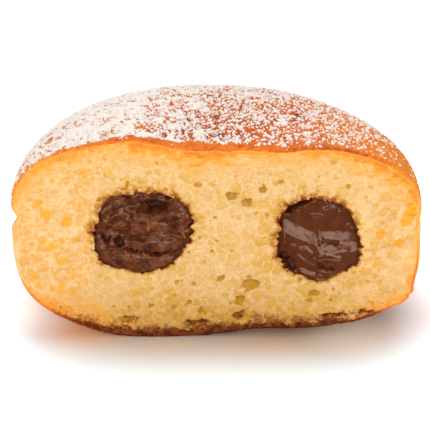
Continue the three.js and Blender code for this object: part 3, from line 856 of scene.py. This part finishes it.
def doughFinish():
    finish = Finish("doughFinish", doughLook)
    brown, burnt, outside, cover = map(finish.value, ("brown", "burnt", "outside", "sugar"))
    pore, hole, tone, wall, holeEdgeShade, fibre = map(finish.value, ("pore", "hole", "tone", "wall", "holeEdgeShade", "fibre"))
    gold, olive, torn, smear, shadeAndOliveBelow = map(finish.value, ("gold", "olive", "torn", "smear", "shadeAndOliveBelow"))
    fine = finish.noise(2300, 2, 0.6)
    speck = finish.noise(4600, 1, 0.5)
    patch = finish.noise(260, 2, 0.6)
    blotch = finish.noise(900, 3, 0.6)
    cloud = finish.noise(110, 2, 0.5)
    drawn = finish.add("VectorMath", {"operation": "MULTIPLY"}, {0: finish.place(), 1: (0.3, 1.0, 1.0)})
    streak = finish.noise(2200, 3, 0.6, drawn)

    # crumb: pale strands round softer golden cells and holes, partly the crumb's own colour, partly painted
    # shade deepening the cells and holes and painted light on the strands
    # brighter, yellower colours at the two ends: partly painted glow of light through the thin dough
    base = finish.mix(tone.between(0.0, 0.4), "strandLeft", "strand")
    base = finish.mix(patch.between(-0.14, 0.14), base, "strandPatch")
    base = finish.mix((cloud + 0.2) * 0.5, base, "strandCloud")
    cell = finish.mix(tone.between(0.0, 0.4), "cellLeft", "cell")
    cell = finish.mix(olive, cell, "olive")
    opened = (pore * 1.2 + blotch * 1.9 + fine * 0.6 + olive * 0.6 - 0.05).between(0.0, 0.9)
    finish.colour = finish.mix(opened * 0.9, base, cell)
    threads = (fibre * (streak + 0.05) * 2.4 + fine * 0.4).between(0.0, 0.6)
    finish.coat(threads * 0.75, "thread")
    light = (wall * 0.35 + fine * 1.3 + speck * 1.2 - opened * 0.35 + 0.05).between(0.05, 0.6)
    finish.coat(light * 0.65, "light")
    ripe = finish.ramp(tone + fine * 0.5, "ripe")
    finish.coat((hole + fine * 0.6).between(0.1, 0.85) * (0.88 + tone * 0.2), ripe)
    # painted shade under the big holes' upper edges
    finish.coat(holeEdgeShade * 0.7, "holeEdgeShade")
    # painted shade towards the bottom, with some of the crumb's own olive tint
    finish.coat(shadeAndOliveBelow, (0.9, 0.82, 0.52), "MULTIPLY")

    # the golden band under the top crust: the crumb's own browner layer, towards the two ends partly painted
    # glow of light through the thin dough
    band = finish.ramp(gold * 0.85 + fine * 0.3 + streak * 0.5, "band")
    finish.coat((gold + streak * 0.5).between(0.0, 0.55), band)

    # torn crumb above the bottom crust
    dim = (torn * 0.9 + blotch * 1.6 + fine * 0.8).between(0.2, 0.9)
    finish.coat(dim * 0.4, "dim")
    hairs = (torn.least(0.6) + streak * 1.6 + speck * 0.8).between(0.55, 0.9)
    finish.coat(hairs * torn.between(0.05, 0.4) * 0.5, "hair")
    flecks = (torn * 1.05 + fine * 1.9 + streak * 0.8 + blotch * 0.9 - 0.42).between(0.0, 0.5)
    fleck = finish.mix(speck.between(-0.1, 0.1), "fleck", "paleFleck")
    finish.coat(flecks * 0.8, fleck)

    # outer skin
    uneven = patch * 0.4 + fine * 0.5 + blotch * 0.3 + streak * 0.7
    toast = finish.ramp(brown + uneven * brown, "toast")
    finish.coat((brown + fine * 0.2).between(0.15, 0.45).most(outside), toast)
    rind = finish.mix((blotch + speck * 0.4).between(-0.12, 0.12), "rind", "paleRind")
    finish.coat((burnt * 1.25 + fine * 0.9 + blotch * 0.6).between(0.2, 0.8), rind)

    # round the cream: a damp golden edge with smears of chocolate
    damp = (smear + fine * 0.6 + blotch * 1.2).between(0.15, 0.75)
    finish.coat(damp * 0.7, "damp")
    stained = (smear + fine * 0.8 + speck * 0.6 + blotch * 1.1).between(0.5, 0.95)
    stain = finish.mix(fine.between(-0.1, 0.1), "stain", "paleStain")
    finish.coat(stained, stain)
    chocolate = (smear + fine * 0.6 + speck * 0.3 + blotch * 0.5).between(0.9, 1.2)
    finish.coat(chocolate, "chocolate")

    # a haze of sugar between the clumps
    clump = finish.noise(3200, 3, 0.65)
    dusted = (clump - 0.24 + cover * 0.24).between(0.0, 0.06) * cover.between(0.0, 0.06)
    finish.coat(dusted * 0.6, "dusting")
    high = fine * 0.5 + dusted * 0.4 + speck * 0.25
    return finish.skin({
        "Roughness": 0.5 + dusted * 0.3, "Normal": finish.bump(high, 0.8, 0.0003),
        "Specular IOR Level": 0.2, "Subsurface Weight": 0.25, "Subsurface Radius": (1.0, 0.5, 0.2),
        "Subsurface Scale": 0.0004})


# Clumps of powdered sugar on the top crust. Lengths are in mm.
sugar = {
    # share covered by place from left to right
    "across": [
        (-44, 0.7), (-25, 0.78), (-14, 0.66), (-4, 0.38), (4, 0.25), (14, 0.16), (24, 0.08), (32, 0.03),
        (38, 0), (42, 0),
    ],
    # how far from the cut's edge it begins, from left to right
    "start": [(-40, 0.5), (-28, 0.8), (-18, 1.5), (0, 1.5), (15, 1.3), (40, 1.5)],
    # between points, then the clumps' size, how much deeper than wide they are, and their groups' size
    "gap": 0.18, "clump": 0.66, "deeper": 1.4, "patch": 2.4, "thick": 0.26, "edge": 0.3, "grit": 0.06,
    "sunk": 0.12, "uneven": 0.22, "most": 0.97, "crumbs": (236, 184, 148), "white": (244, 235, 227),
    "seed": 13,
    # spots where the crust shows more: x, y, half width, half depth, less cover
    "bareSpots": [
        (-7, -1, 2.6, 1.6, 0.3), (-2, 5, 3, 4, 0.25), (0, 19, 4, 5, 0.3), (9, 12, 7, 8, 0.1),
        (-26, 0, 5, 2.6, 0.22), (-15, 1.5, 4, 2.6, 0.22),
    ],
}


def sugarStart(x, y, rough):
    return lineCurve(sugar["start"], x) + rough * roughNoise(x / 1.1, y / 1.1, 87)


def sugarCover(rows, turns, along):
    x, y, z = rows.T
    start = sugarStart(x, y, 0.8)
    slope = step(0.0, 0.4, np.sin(turns)) * step(27, 33, z)
    cover = lineCurve(sugar["across"], x) + sugar["uneven"] * roughNoise(x / 6, y / 6, 88, 2)
    for *oval, less in sugar["bareSpots"]:
        cover = cover - less * step(1.2, 0.4, inOval(x, y, *oval))
    return np.clip(cover, 0, sugar["most"]) * slope * step(start - 0.5, start + 0.6, along)


def looseShare(rows, turns, along):  # loose grains lie between the clumps and a little beyond them
    x, y, z = rows.T
    above = step(0.0, 0.35, np.sin(turns)) * step(27, 32, z)
    start = sugarStart(x, y, 0.9)
    share = lineCurve(grains["across"], x) * (1 + 0.5 * roughNoise(x / 5, y / 5, 89, 2))
    few = grains["few"] * step(0.3, 1.2, along) * step(40, 30, x)
    return above * (share * step(start - 0.5, start + 0.5, along) + few)


def makeSugar(material):
    # A triangular grid wrapped over the dome from its top; only what rises above the crust is kept.
    radius, power, gap = doughnut["radius"], doughnut["domePower"], sugar["gap"]
    share = np.linspace(0, 0.9999, 4000)
    height = doughnut["domeHeight"] * (1 - share**power)**(1 / power)
    arc = np.concatenate([[0], np.cumsum(np.hypot(np.diff(share * radius), np.diff(height)))])
    a, b = triangularGrid((-arc[-1], -arc[-1]), (arc[-1], arc[-1]), gap)
    rng = np.random.default_rng(sugar["seed"])
    a, b = a + rng.uniform(-0.2, 0.2, a.shape) * gap, b + rng.uniform(-0.2, 0.2, a.shape) * gap
    far = np.hypot(a, b)
    plan = np.interp(far, arc, share) * radius / np.maximum(far, 1e-6)
    x, y = a * plan, b * plan * doughnut["depthShare"]
    z = np.interp(far, arc, height)
    turns = np.arctan2(z, x)
    behind = y + doughnut["cutOffset"]
    rows = np.stack([x.ravel(), y.ravel(), z.ravel() + doughnut["collarHeight"]], 1)
    cover = sugarCover(rows, turns.ravel(), behind.ravel()).reshape(x.shape)
    cover = cover * (behind > 0.4) * (far < arc[-1] * 0.97)
    size = sugar["clump"]
    warpX = a + 0.35 * roughNoise(a / 1.2, b / 1.2, 141)
    warpY = b + 0.35 * roughNoise(a / 1.2, b / 1.2, 142)
    clump = roughNoise(warpX / size, warpY / size / sugar["deeper"], 143, 3, 0.85)
    clump = clump + 0.35 * roughNoise(a / sugar["patch"], b / sugar["patch"], 144, 2)
    order = np.sort(clump[(far < arc[-1]) & (behind > 0)])
    level = order[np.clip(((1 - cover) * len(order)).astype(int), 0, len(order) - 1)]
    rise = np.tanh((clump - level) / sugar["edge"]) * sugar["thick"]
    rise = rise + sugar["grit"] * rng.uniform(-1, 1, a.shape)
    rise = np.where(cover > 0.015, rise, -0.3)
    raised = rise > 0
    points = skinPoint(turns, behind, np.where(raised, -rise - 0.03, sugar["sunk"]))
    index = np.arange(a.size).reshape(a.shape)
    tris = []
    for odd in (0, 1):
        low, high = index[odd:-1:2], index[odd + 1::2]
        left, right, leftUp, rightUp = low[:, :-1], low[:, 1:], high[:, :-1], high[:, 1:]
        if odd:
            pair = [(left, right, rightUp), (left, rightUp, leftUp)]
        else:
            pair = [(left, right, leftUp), (right, rightUp, leftUp)]
        tris += [np.stack(corners, -1).reshape(-1, 3) for corners in pair]
    tris = np.concatenate(tris)
    tris = tris[raised.ravel()[tris].any(1)]
    used, tris = np.unique(tris, return_inverse=True)
    made = makeMesh("sugar_dust", points.reshape(-1, 3)[used], tris.reshape(-1, 3), material,
                    {"rise": np.clip(rise.ravel()[used] / sugar["thick"], 0, 1)})
    print("sugar:", len(made.data.polygons), "triangles")
    return made


def sugarFinish():
    finish = Finish("sugarFinish", sugar)
    grain = finish.noise(3600, 2, 0.6)
    rise = (finish.value("rise") * 0.9 + grain * 1.2 + 0.12).between(0.0, 0.7)
    finish.colour = finish.mix(rise, "crumbs", "white")
    return finish.skin({
        "Roughness": 0.9, "Normal": finish.bump(grain, 0.7, 0.0002), "Specular IOR Level": 0.2,
        "Subsurface Weight": 0.2, "Subsurface Radius": (1.0, 0.8, 0.6), "Subsurface Scale": 0.0003})


# Loose grains of sugar, scattered over the crust between the clumps. Sizes are radii in metres.
grains = {
    "inputs": {
        "perSquareMetre": 2600000.0, "smallest": 0.00014, "largest": 0.00046, "fewerLarge": 1.6, "seed": 6,
    },
    # how thickly they lie on the cut's edge, and everywhere else by place in mm from left to right
    "few": 0.04,
    "across": [
        (-44, 0.5), (-30, 0.55), (-12, 0.6), (0, 0.76), (14, 0.66), (24, 0.5), (29, 0.43), (34, 0.38),
        (38, 0.28), (41, 0.1),
    ],
}


def makeGrains(dough, material):
    tree = bpy.data.node_groups.new("scatterGrains", "GeometryNodeTree")
    tree.interface.new_socket("surface", in_out="INPUT", socket_type="NodeSocketGeometry")
    for name, value in grains["inputs"].items():
        kind = "NodeSocketInt" if isinstance(value, int) else "NodeSocketFloat"
        tree.interface.new_socket(name, in_out="INPUT", socket_type=kind).default_value = value
    tree.interface.new_socket("grains", in_out="OUTPUT", socket_type="NodeSocketGeometry")

    def add(kind, settings=None, sockets=None):
        return newNode(tree, kind, settings, sockets).outputs

    def reckon(operation, *values, **settings):
        return add("ShaderNodeMath", {"operation": operation, **settings}, dict(enumerate(values)))[0]

    given = add("NodeGroupInput")
    seed = given["seed"]

    def drawn(low, high):
        sockets = {0: low, 1: high, "Seed": seed}
        return add("FunctionNodeRandomValue", {"data_type": "FLOAT_VECTOR"}, sockets)[0]

    share = add("GeometryNodeInputNamedAttribute", {"data_type": "FLOAT"}, {"Name": "grains"})[0]
    density = reckon("MULTIPLY", share, given["perSquareMetre"])
    points = add("GeometryNodeDistributePointsOnFaces", {"distribute_method": "RANDOM"},
                 {"Mesh": given["surface"], "Density": density, "Seed": seed})
    chance = add("FunctionNodeRandomValue", {"data_type": "FLOAT"}, {2: 0.0, 3: 1.0, "Seed": seed})[1]
    rank = reckon("POWER", chance, given["fewerLarge"])
    span = reckon("SUBTRACT", given["largest"], given["smallest"])
    size = reckon("MULTIPLY_ADD", rank, span, given["smallest"])
    fitted = reckon("MULTIPLY", size, reckon("MULTIPLY_ADD", share, 1.0, 0.5, use_clamp=True))
    turn = drawn((0, 0, 0), (6.28, 6.28, 6.28))
    squeeze = drawn((0.75, 0.75, 0.75), (1.25, 1.25, 1.25))
    scale = add("ShaderNodeVectorMath", {"operation": "SCALE"}, {0: squeeze, 3: fitted})[0]
    ball = add("GeometryNodeMeshIcoSphere", None, {"Radius": 1.0, "Subdivisions": 1})
    grain = add("GeometryNodeStoreNamedAttribute", {"data_type": "FLOAT", "domain": "POINT"},
                {"Geometry": ball["Mesh"], "Name": "rise", "Value": 1.0})[0]
    placed = add("GeometryNodeInstanceOnPoints", None,
                 {"Points": points["Points"], "Instance": grain, "Rotation": turn, "Scale": scale})[0]
    whole = add("GeometryNodeRealizeInstances", None, {"Geometry": placed})[0]
    finished = add("GeometryNodeSetMaterial", None, {"Geometry": whole, "Material": material})[0]
    add("NodeGroupOutput", None, {"grains": finished})

    holder = bpy.data.objects.new("grainHolder", dough.data)
    bpy.context.scene.collection.objects.link(holder)
    scatter = holder.modifiers.new("scatter", "NODES")
    scatter.node_group = tree
    for item in tree.interface.items_tree:
        if item.name in grains["inputs"]:
            scatter[item.identifier] = grains["inputs"][item.name]
    mesh = bpy.data.meshes.new_from_object(holder.evaluated_get(bpy.context.evaluated_depsgraph_get()))
    holder.modifiers.remove(scatter)
    bpy.data.objects.remove(holder)
    made = bpy.data.objects.new("sugar_grains", mesh)
    bpy.context.scene.collection.objects.link(made)
    print("grains:", len(mesh.polygons), "triangles")
    return made


# The cream. Lines are drawn in mm across and up from the pocket's middle.
cream = {
    # gap is between the points of its face, lap how far its rim stays off the crumb
    "gap": 0.14, "rimPoints": 400, "wallRings": 8, "lap": 0.05, "gloss": 0.8,
    # painted shade round its rim where it meets the crumb, painted shade in its creases, hollows and tears,
    # and crumb that sticks in it
    "rimShadeColour": (80, 28, 7), "creaseShadeColour": (60, 17, 1), "shredColour": (176, 88, 34),
    # how wide its darker, rougher rim is (the darkness a painted shade), and how far from its middle the
    # face's points are spread
    "skirt": 0.9, "spreadWithin": 13, "seed": 5,
    # dark and pale are its two colours, bent says how far the lines wander
    "left": {
        "roughness": 0.2, "dark": (81, 37, 17), "pale": (123, 70, 43), "bent": 0.5,
        # hollows torn in it: middle, half width, half height, depth
        "hollows": [(2.2, 5.9, 3, 1.1, 1.3)],
        # slits and tears: depth, half width, then points
        "cuts": [
            (1.5, 0.5, (-8.7, -1.3), (-7.9, -1.8), (-7.2, -1.5)),
            (1.5, 0.5, (-5.8, -2), (-5, -2.8), (-4.4, -2.7)),
            (1.1, 0.5, (-3.8, -3.8), (-2.6, -4.4), (-1.5, -4.2)),
            (1.2, 0.55, (-0.2, -4.4), (1.4, -5), (3.2, -4.7)),
            (0.8, 0.4, (3.2, -4.7), (5, -4.3), (6.6, -4.6)), (0.5, 0.3, (-8.8, 0.4), (-7.2, 1)),
            (0.9, 0.45, (-4.4, 7.6), (-3.2, 8.1)), (0.9, 0.5, (5.2, 8), (6.8, 7.7)),
            (0.6, 0.3, (6.2, 2.1), (8.6, 1.6)), (0.5, 0.3, (7.4, -3.4), (8.4, -4.6)),
        ],
        # ridges drawn over it: height, half width, then points
        "strokes": [
            (0.4, 0.5, (-8.4, 3.1), (-6.6, 4.6), (-5.2, 5.4)),
            (0.45, 0.5, (-8.6, 2.7), (-6.6, 1.4), (-4.6, 2.4)),
            (0.65, 0.6, (-0.6, 4.3), (2.2, 3.9), (5.2, 4.3)), (0.75, 1.5, (2.6, 2.4), (5.2, 2), (8, 2.8)),
            (0.35, 0.4, (-4.4, 0.8), (-3.2, 0.9), (-2.7, -0.1), (-3.6, -0.9)),
            (0.4, 0.5, (-1.6, 2), (0.2, 1.5), (1.2, 0.3)),
            (0.65, 1.2, (-3.4, -2), (-1.6, -2.6), (-0.4, -3.2)),
            (0.6, 1, (1, -2.4), (2.6, -2.8), (3.6, -3.4)), (0.8, 1.4, (-5, -6.9), (-2, -7.6), (1.6, -7.5)),
            (0.5, 0.7, (1.8, -7), (4, -6.9), (6.4, -5.8)),
            (0.35, 0.4, (-6.2, -5.2), (-4.6, -5), (-2.8, -5.6)),
            (0.4, 0.5, (4.2, -0.8), (6, -0.4), (7.8, -1.1)),
            (0.35, 0.4, (-0.8, -0.6), (0.6, -1.2), (2.4, -0.6)),
            (0.4, 0.5, (4.6, 0.9), (6.4, 1.3), (8.2, 0.8)),
            (0.35, 0.4, (-7.2, -3.4), (-5.6, -4), (-4.2, -3.4)),
            (0.45, 0.6, (3.6, 7.4), (5.6, 6.6), (7.6, 5.6)),
            (0.4, 0.5, (-3.4, 6.6), (-2.4, 7.4), (-0.6, 7.7)),
        ],
        # thin shreds of crust and crumb caught in it: half width, then points
        "slivers": [
            (0.2, (0.8, 2.8), (1.4, 0.6)), (0.14, (-2.8, 2.1), (-2.4, 1.2)), (0.14, (0.5, -2), (0.8, -3.2)),
            (0.2, (-6.6, -0.3), (-6, -1.6)), (0.16, (8.5, -0.2), (8.9, -1.3)),
            (0.2, (-3.9, -4.5), (-2.7, -5.2), (-1.9, -5.3)), (0.22, (-0.6, -4.4), (0.4, -5.2), (1.6, -5.7)),
            (0.12, (-0.8, 5.8), (-0.5, 4.8)), (0.12, (-7.9, 3), (-7.3, 3.8)),
        ],
        # how strong its relief is, how far it lies back, and how far crests may pass the cut
        "folds": {
            "strokes": 1.6, "lumps": 0.7, "high": 0.6, "small": 0.24, "lean": 0.12, "recess": 1.0,
            "swell": 0.45, "proud": 0.8,
        },
    },
    "right": {
        "roughness": 0.17, "dark": (90, 44, 21), "pale": (100, 51, 27), "bent": 0.2, "hollows": [],
        "cuts": [
            (1.8, 0.75, (-6.6, 6), (-4.8, 7.6), (-2.4, 8.7)), (1, 0.6, (2, 8.8), (4, 8.2), (5.4, 7.2)),
            (0.9, 0.6, (-7.6, -4), (-6.6, -5.4), (-5.6, -6.8)), (0.6, 0.3, (-6.4, -4.9), (-5, -5.4)),
            (0.7, 0.36, (0.2, -5.5), (1.6, -6), (3.3, -6.7)), (0.4, 0.24, (1.5, -4.9), (2.8, -5.3)),
            (0.35, 0.3, (-3, -8.6), (-1, -8.9)), (0.3, 0.3, (1.2, -0.5), (4, -0.9)),
            (0.22, 0.2, (0.1, 1.9), (-0.25, 0.8), (0.05, 0), (0.3, -1.2)),
        ],
        "strokes": [
            (0.35, 0.45, (-6.2, -4.3), (-4.4, -3.9), (-2.7, -5.2), (-0.4, -6.3)),
            (0.35, 0.5, (-1, 4.8), (0.4, 4.6), (0.2, 3.6)),
            (0.5, 0.75, (-0.6, -4.8), (1.6, -4.3), (4.4, -4.7), (5.4, -5.9)),
            (0.5, 0.7, (5.4, -5.9), (4, -7.5), (1.6, -7.4), (-0.4, -6.5)),
            (0.6, 0.85, (-3.6, -7.8), (-1.6, -8.5), (0.6, -8.3)),
            (0.4, 0.6, (1.4, 6.2), (3, 6.7), (4.6, 5.6)),
            (0.35, 0.6, (-4, -2.6), (-2.6, -2.3), (-1.5, -3.2)), (0.3, 0.5, (-6.3, -2.2), (-5.1, -2)),
            (0.3, 0.4, (6.4, 2.6), (7.2, 1.6)),
        ],
        "slivers": [
            (0.16, (-0.4, 8.6), (-1.6, 7.9), (-3.1, 6.8)), (0.14, (-4.8, 6), (-4, 5.7)),
            (0.12, (-7.2, 0.9), (-7.1, -1.7)),
        ],
        # how steeply it leans back, by height over the pocket's middle: mm, degrees
        "lean": [
            (-11, 0), (-9, 0), (-4, 3), (-3.3, 8), (-2.7, 24), (0, 20), (1.4, 17), (1.8, 8), (4.5, 6),
            (10, 5),
        ],
    },
}


def gapToLine(line, u, v):
    gap = np.full(u.shape, 99.0)
    for (ax, ay), (bx, by) in zip(line, line[1:]):
        t = np.clip(((u - ax) * (bx - ax) + (v - ay) * (by - ay)) / ((bx - ax)**2 + (by - ay)**2), 0, 1)
        gap = np.minimum(gap, np.hypot(u - ax - t * (bx - ax), v - ay - t * (by - ay)))
    return gap


def foldedRelief(folds, x, z, v, out):  # lumps, folds and small creases; also how much painted shade the creases get
    lumps = roughNoise(x / 3.4 + 9, z / 2.2, 93, 1)
    high = 1 - np.abs(roughNoise(x / 3.0 + 5, z / 2.0, 94, 2, 0.35))
    small = 1 - np.abs(roughNoise(x / 1.3, z / 0.9, 95, 1))
    rough = step(-0.4, 0.3, roughNoise(x / 3, z / 3, 96))
    out = folds["strokes"] * out + folds["lumps"] * lumps + folds["high"] * (high - 0.7)
    out = out + folds["small"] * (small - 0.7) * rough
    return out - folds["lean"] * v, 0.6 * step(0.66, 0.4, high) * step(0.85, 0.5, small)


def sunkFace(folds, pocket, v, share, out):
    sunk = folds["recess"] * blend(0.3, 1, step(-0.8, 0.3, v / pocket["halfHeight"]))
    lie = sunk - folds["swell"] * (1 - share**2) - out * (1 - share**8)
    ahead = np.maximum(0, -lie)  # crests that stand in front of the cut are pressed down
    return lie + ahead - folds["proud"] * np.tanh(ahead / folds["proud"])


def leaningFace(lean, x, z, u, v, share, out):  # two halves that meet in an upright crease
    heights = np.linspace(-14, 14, 561)
    slopes = np.tan(np.radians(lineCurve(lean, heights)))
    back = np.cumsum(slopes) * (heights[1] - heights[0])
    back = back - np.interp(0, heights, back)
    crease = u + 0.1 + 0.22 * np.sin(1.5 * v + 0.6)
    leftSide = -np.log1p(np.exp(-crease / 0.5)) * 0.5  # u on the left of the middle, 0 on the right
    narrow = blend(1.0, 1.75, step(0.2, -0.6, u))  # the left half turns faster, so it mirrors a lower strip
    out = out - np.interp((v + 0.4 * leftSide) * narrow, heights, back) / narrow + 0.14 * leftSide - u**2 / 44
    out = out + 0.03 * roughNoise(x / 1.6, z / 1.2, 98, 2) - 0.5
    turn = np.arctan2(v, u)
    upperLeft = step(-0.3, 0.7, np.sin(turn)) * step(0.6, -0.5, np.cos(turn))
    edge = 0.15 + 1.4 * upperLeft + 0.6 * step(0.5, 1.0, np.sin(turn))
    return blend(-out, edge, share**12)


def creamForm(look, pocket, x, z, share):  # where its face lies, how much painted shade its creases, hollows and tears get, where shreds stick in it
    fray = 0.26 * roughNoise(x / 0.7, z / 0.7, 90, 2) + 0.14 * roughNoise(x / 0.35, z / 0.35, 88, 1)
    u = x - pocket["x"] + look["bent"] * roughNoise(x / 1.7, z / 1.7, 91)
    v = z - pocket["z"] + look["bent"] * roughNoise(x / 1.7, z / 1.7, 92)
    out, deep, sliver = (np.zeros(x.shape) for _ in range(3))
    for high, wide, *line in look["strokes"]:
        out = np.maximum(out, high * np.exp(-(gapToLine(line, u, v) / wide)**2))
    if "folds" in look:
        out, deep = foldedRelief(look["folds"], x, z, v, out)
    for hollowX, hollowZ, halfWidth, halfHeight, depth in look["hollows"]:
        hollow = step(1.2, 0.5, inOval(u, v, hollowX, hollowZ, halfWidth, halfHeight) + fray)
        fan = np.sin(np.arctan2(v - hollowZ + 2.4, u - hollowX) * 34 + 2 * roughNoise(x, z, 89)) * 0.14
        out = out - (depth + fan) * hollow
        deep = np.maximum(deep, hollow * (1 + 2 * fan))
    for depth, wide, *line in look["cuts"]:
        torn = np.exp(-(np.abs(gapToLine(line, u, v) + fray) / wide)**3)
        out = out - depth * torn
        deep = np.maximum(deep, torn * min(1, 0.1 + 0.7 * depth) * (1 + roughNoise(x / 0.8, z / 0.8, 87)))
    broken = step(-0.6, 0.1, roughNoise(x / 0.7, z / 0.7, 86))
    for wide, *line in look["slivers"]:
        thread = step(1.3, 0.4, (gapToLine(line, u, v) + 0.5 * fray) / wide) * broken
        out = out + 0.25 * thread
        sliver = np.maximum(sliver, thread)
    if "folds" in look:
        lie = sunkFace(look["folds"], pocket, v, share, out)
    else:
        lie = leaningFace(look["lean"], x, z, u, v, share, out)
    return lie - doughnut["cutOffset"], deep, sliver


def makeCream(which, pocket, material):
    turns = np.linspace(0, 2 * np.pi, cream["rimPoints"], endpoint=False)
    rim = pocketRing(pocket, turns, 0, mouthLine(pocket, turns) - cream["lap"])
    middle, reach = np.array([pocket["x"], pocket["z"]]), cream["spreadWithin"]
    inner = spread(middle - reach, middle + reach, cream["gap"], cream["seed"])

    def inside(x, z, margin=0.0):
        away, turn, radius = pocketPolar(pocket, x, z)
        return away < radius + mouthLine(pocket, turn) - cream["lap"] - margin

    inner = inner[inside(inner[:, 0], inner[:, 1], 0.1)]
    flat = np.concatenate([rim[:, [0, 2]], inner])
    faces = [flatFill([rim[:, [0, 2]]], inner, inside)]
    away, at, radius = pocketPolar(pocket, flat[:, 0], flat[:, 1])
    y, deep, sliver = creamForm(cream[which], pocket, flat[:, 0], flat[:, 1], np.clip(away / radius, 0, 1))
    # how near the rim: painted shade and more roughness there
    edge = np.exp(-(np.maximum(0, radius + mouthLine(pocket, at) - away) / cream["skirt"])**2)
    points = [np.stack([flat[:, 0], y, flat[:, 1]], 1)]
    last, count = np.arange(len(turns)), len(flat)
    for ring in range(1, cream["wallRings"] + 1):
        points.append(pocketRing(pocket, turns, math.sin(math.pi / 2 * ring / (cream["wallRings"] + 1)), 0))
        faces.append(stripBetween(last, count + np.arange(len(turns))))
        last = count + np.arange(len(turns))
        count += len(turns)
    points.append(np.array([[pocket["x"], pocket["depth"] - doughnut["cutOffset"], pocket["z"]]]))
    faces.append(np.stack([last, np.repeat(count, len(last)), np.roll(last, -1)], 1))
    points = np.concatenate(points)
    behind = np.zeros(len(points) - len(deep))
    values = {"deep": np.concatenate([deep, behind]), "sliver": np.concatenate([sliver, behind]),
              "edge": np.concatenate([edge, behind + 1])}
    made = makeMesh("cream_" + which, points, np.concatenate(faces), material, values)
    print("cream", which, len(made.data.polygons), "triangles")
    return made


def creamFinish(which):
    look = {**cream, **cream[which]}
    finish = Finish("cream_" + which, look)
    soft = finish.noise(500, 3, 0.5)
    fine = finish.noise(2400, 2, 0.6)
    deep, sliver, edge = map(finish.value, ("deep", "sliver", "edge"))
    skirt = (edge + fine * 0.8 + soft * 0.8).between(0.3, 0.9)
    finish.colour = finish.mix(soft.between(-0.15, 0.2), "dark", "pale")
    # painted shade round the rim, where the cream meets the crumb
    finish.coat(skirt * 0.85, "rimShadeColour")
    # painted shade in the creases, hollows and tears
    finish.coat((deep + fine * 0.5).between(0.1, 0.9), "creaseShadeColour")
    finish.coat((sliver + fine * 0.5).between(0.25, 0.9) * 0.8, "shredColour")
    return finish.skin({
        "Roughness": deep.between(0.2, 0.9) * 0.2 + skirt * 0.12 + look["roughness"],
        "Normal": finish.bump(finish.noise(1800, 2, 0.5), 0.15, 0.0001),
        "Specular IOR Level": look["gloss"], "Specular Tint": (1.0, 0.72, 0.58, 1.0),
        "Subsurface Weight": 0.08, "Subsurface Radius": (1.0, 0.5, 0.3), "Subsurface Scale": 0.0006})


dough = makeDough(doughFinish())
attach(dough, "root")
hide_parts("dough")
sugarMaterial = sugarFinish()
dust = makeSugar(sugarMaterial)
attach(dust, "root")
loose = makeGrains(dough, sugarMaterial)
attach(loose, "root")
for which, pocket in pockets.items():
    made = makeCream(which, pocket, creamFinish(which))
    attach(made, "root")
    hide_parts(pocket["node"])
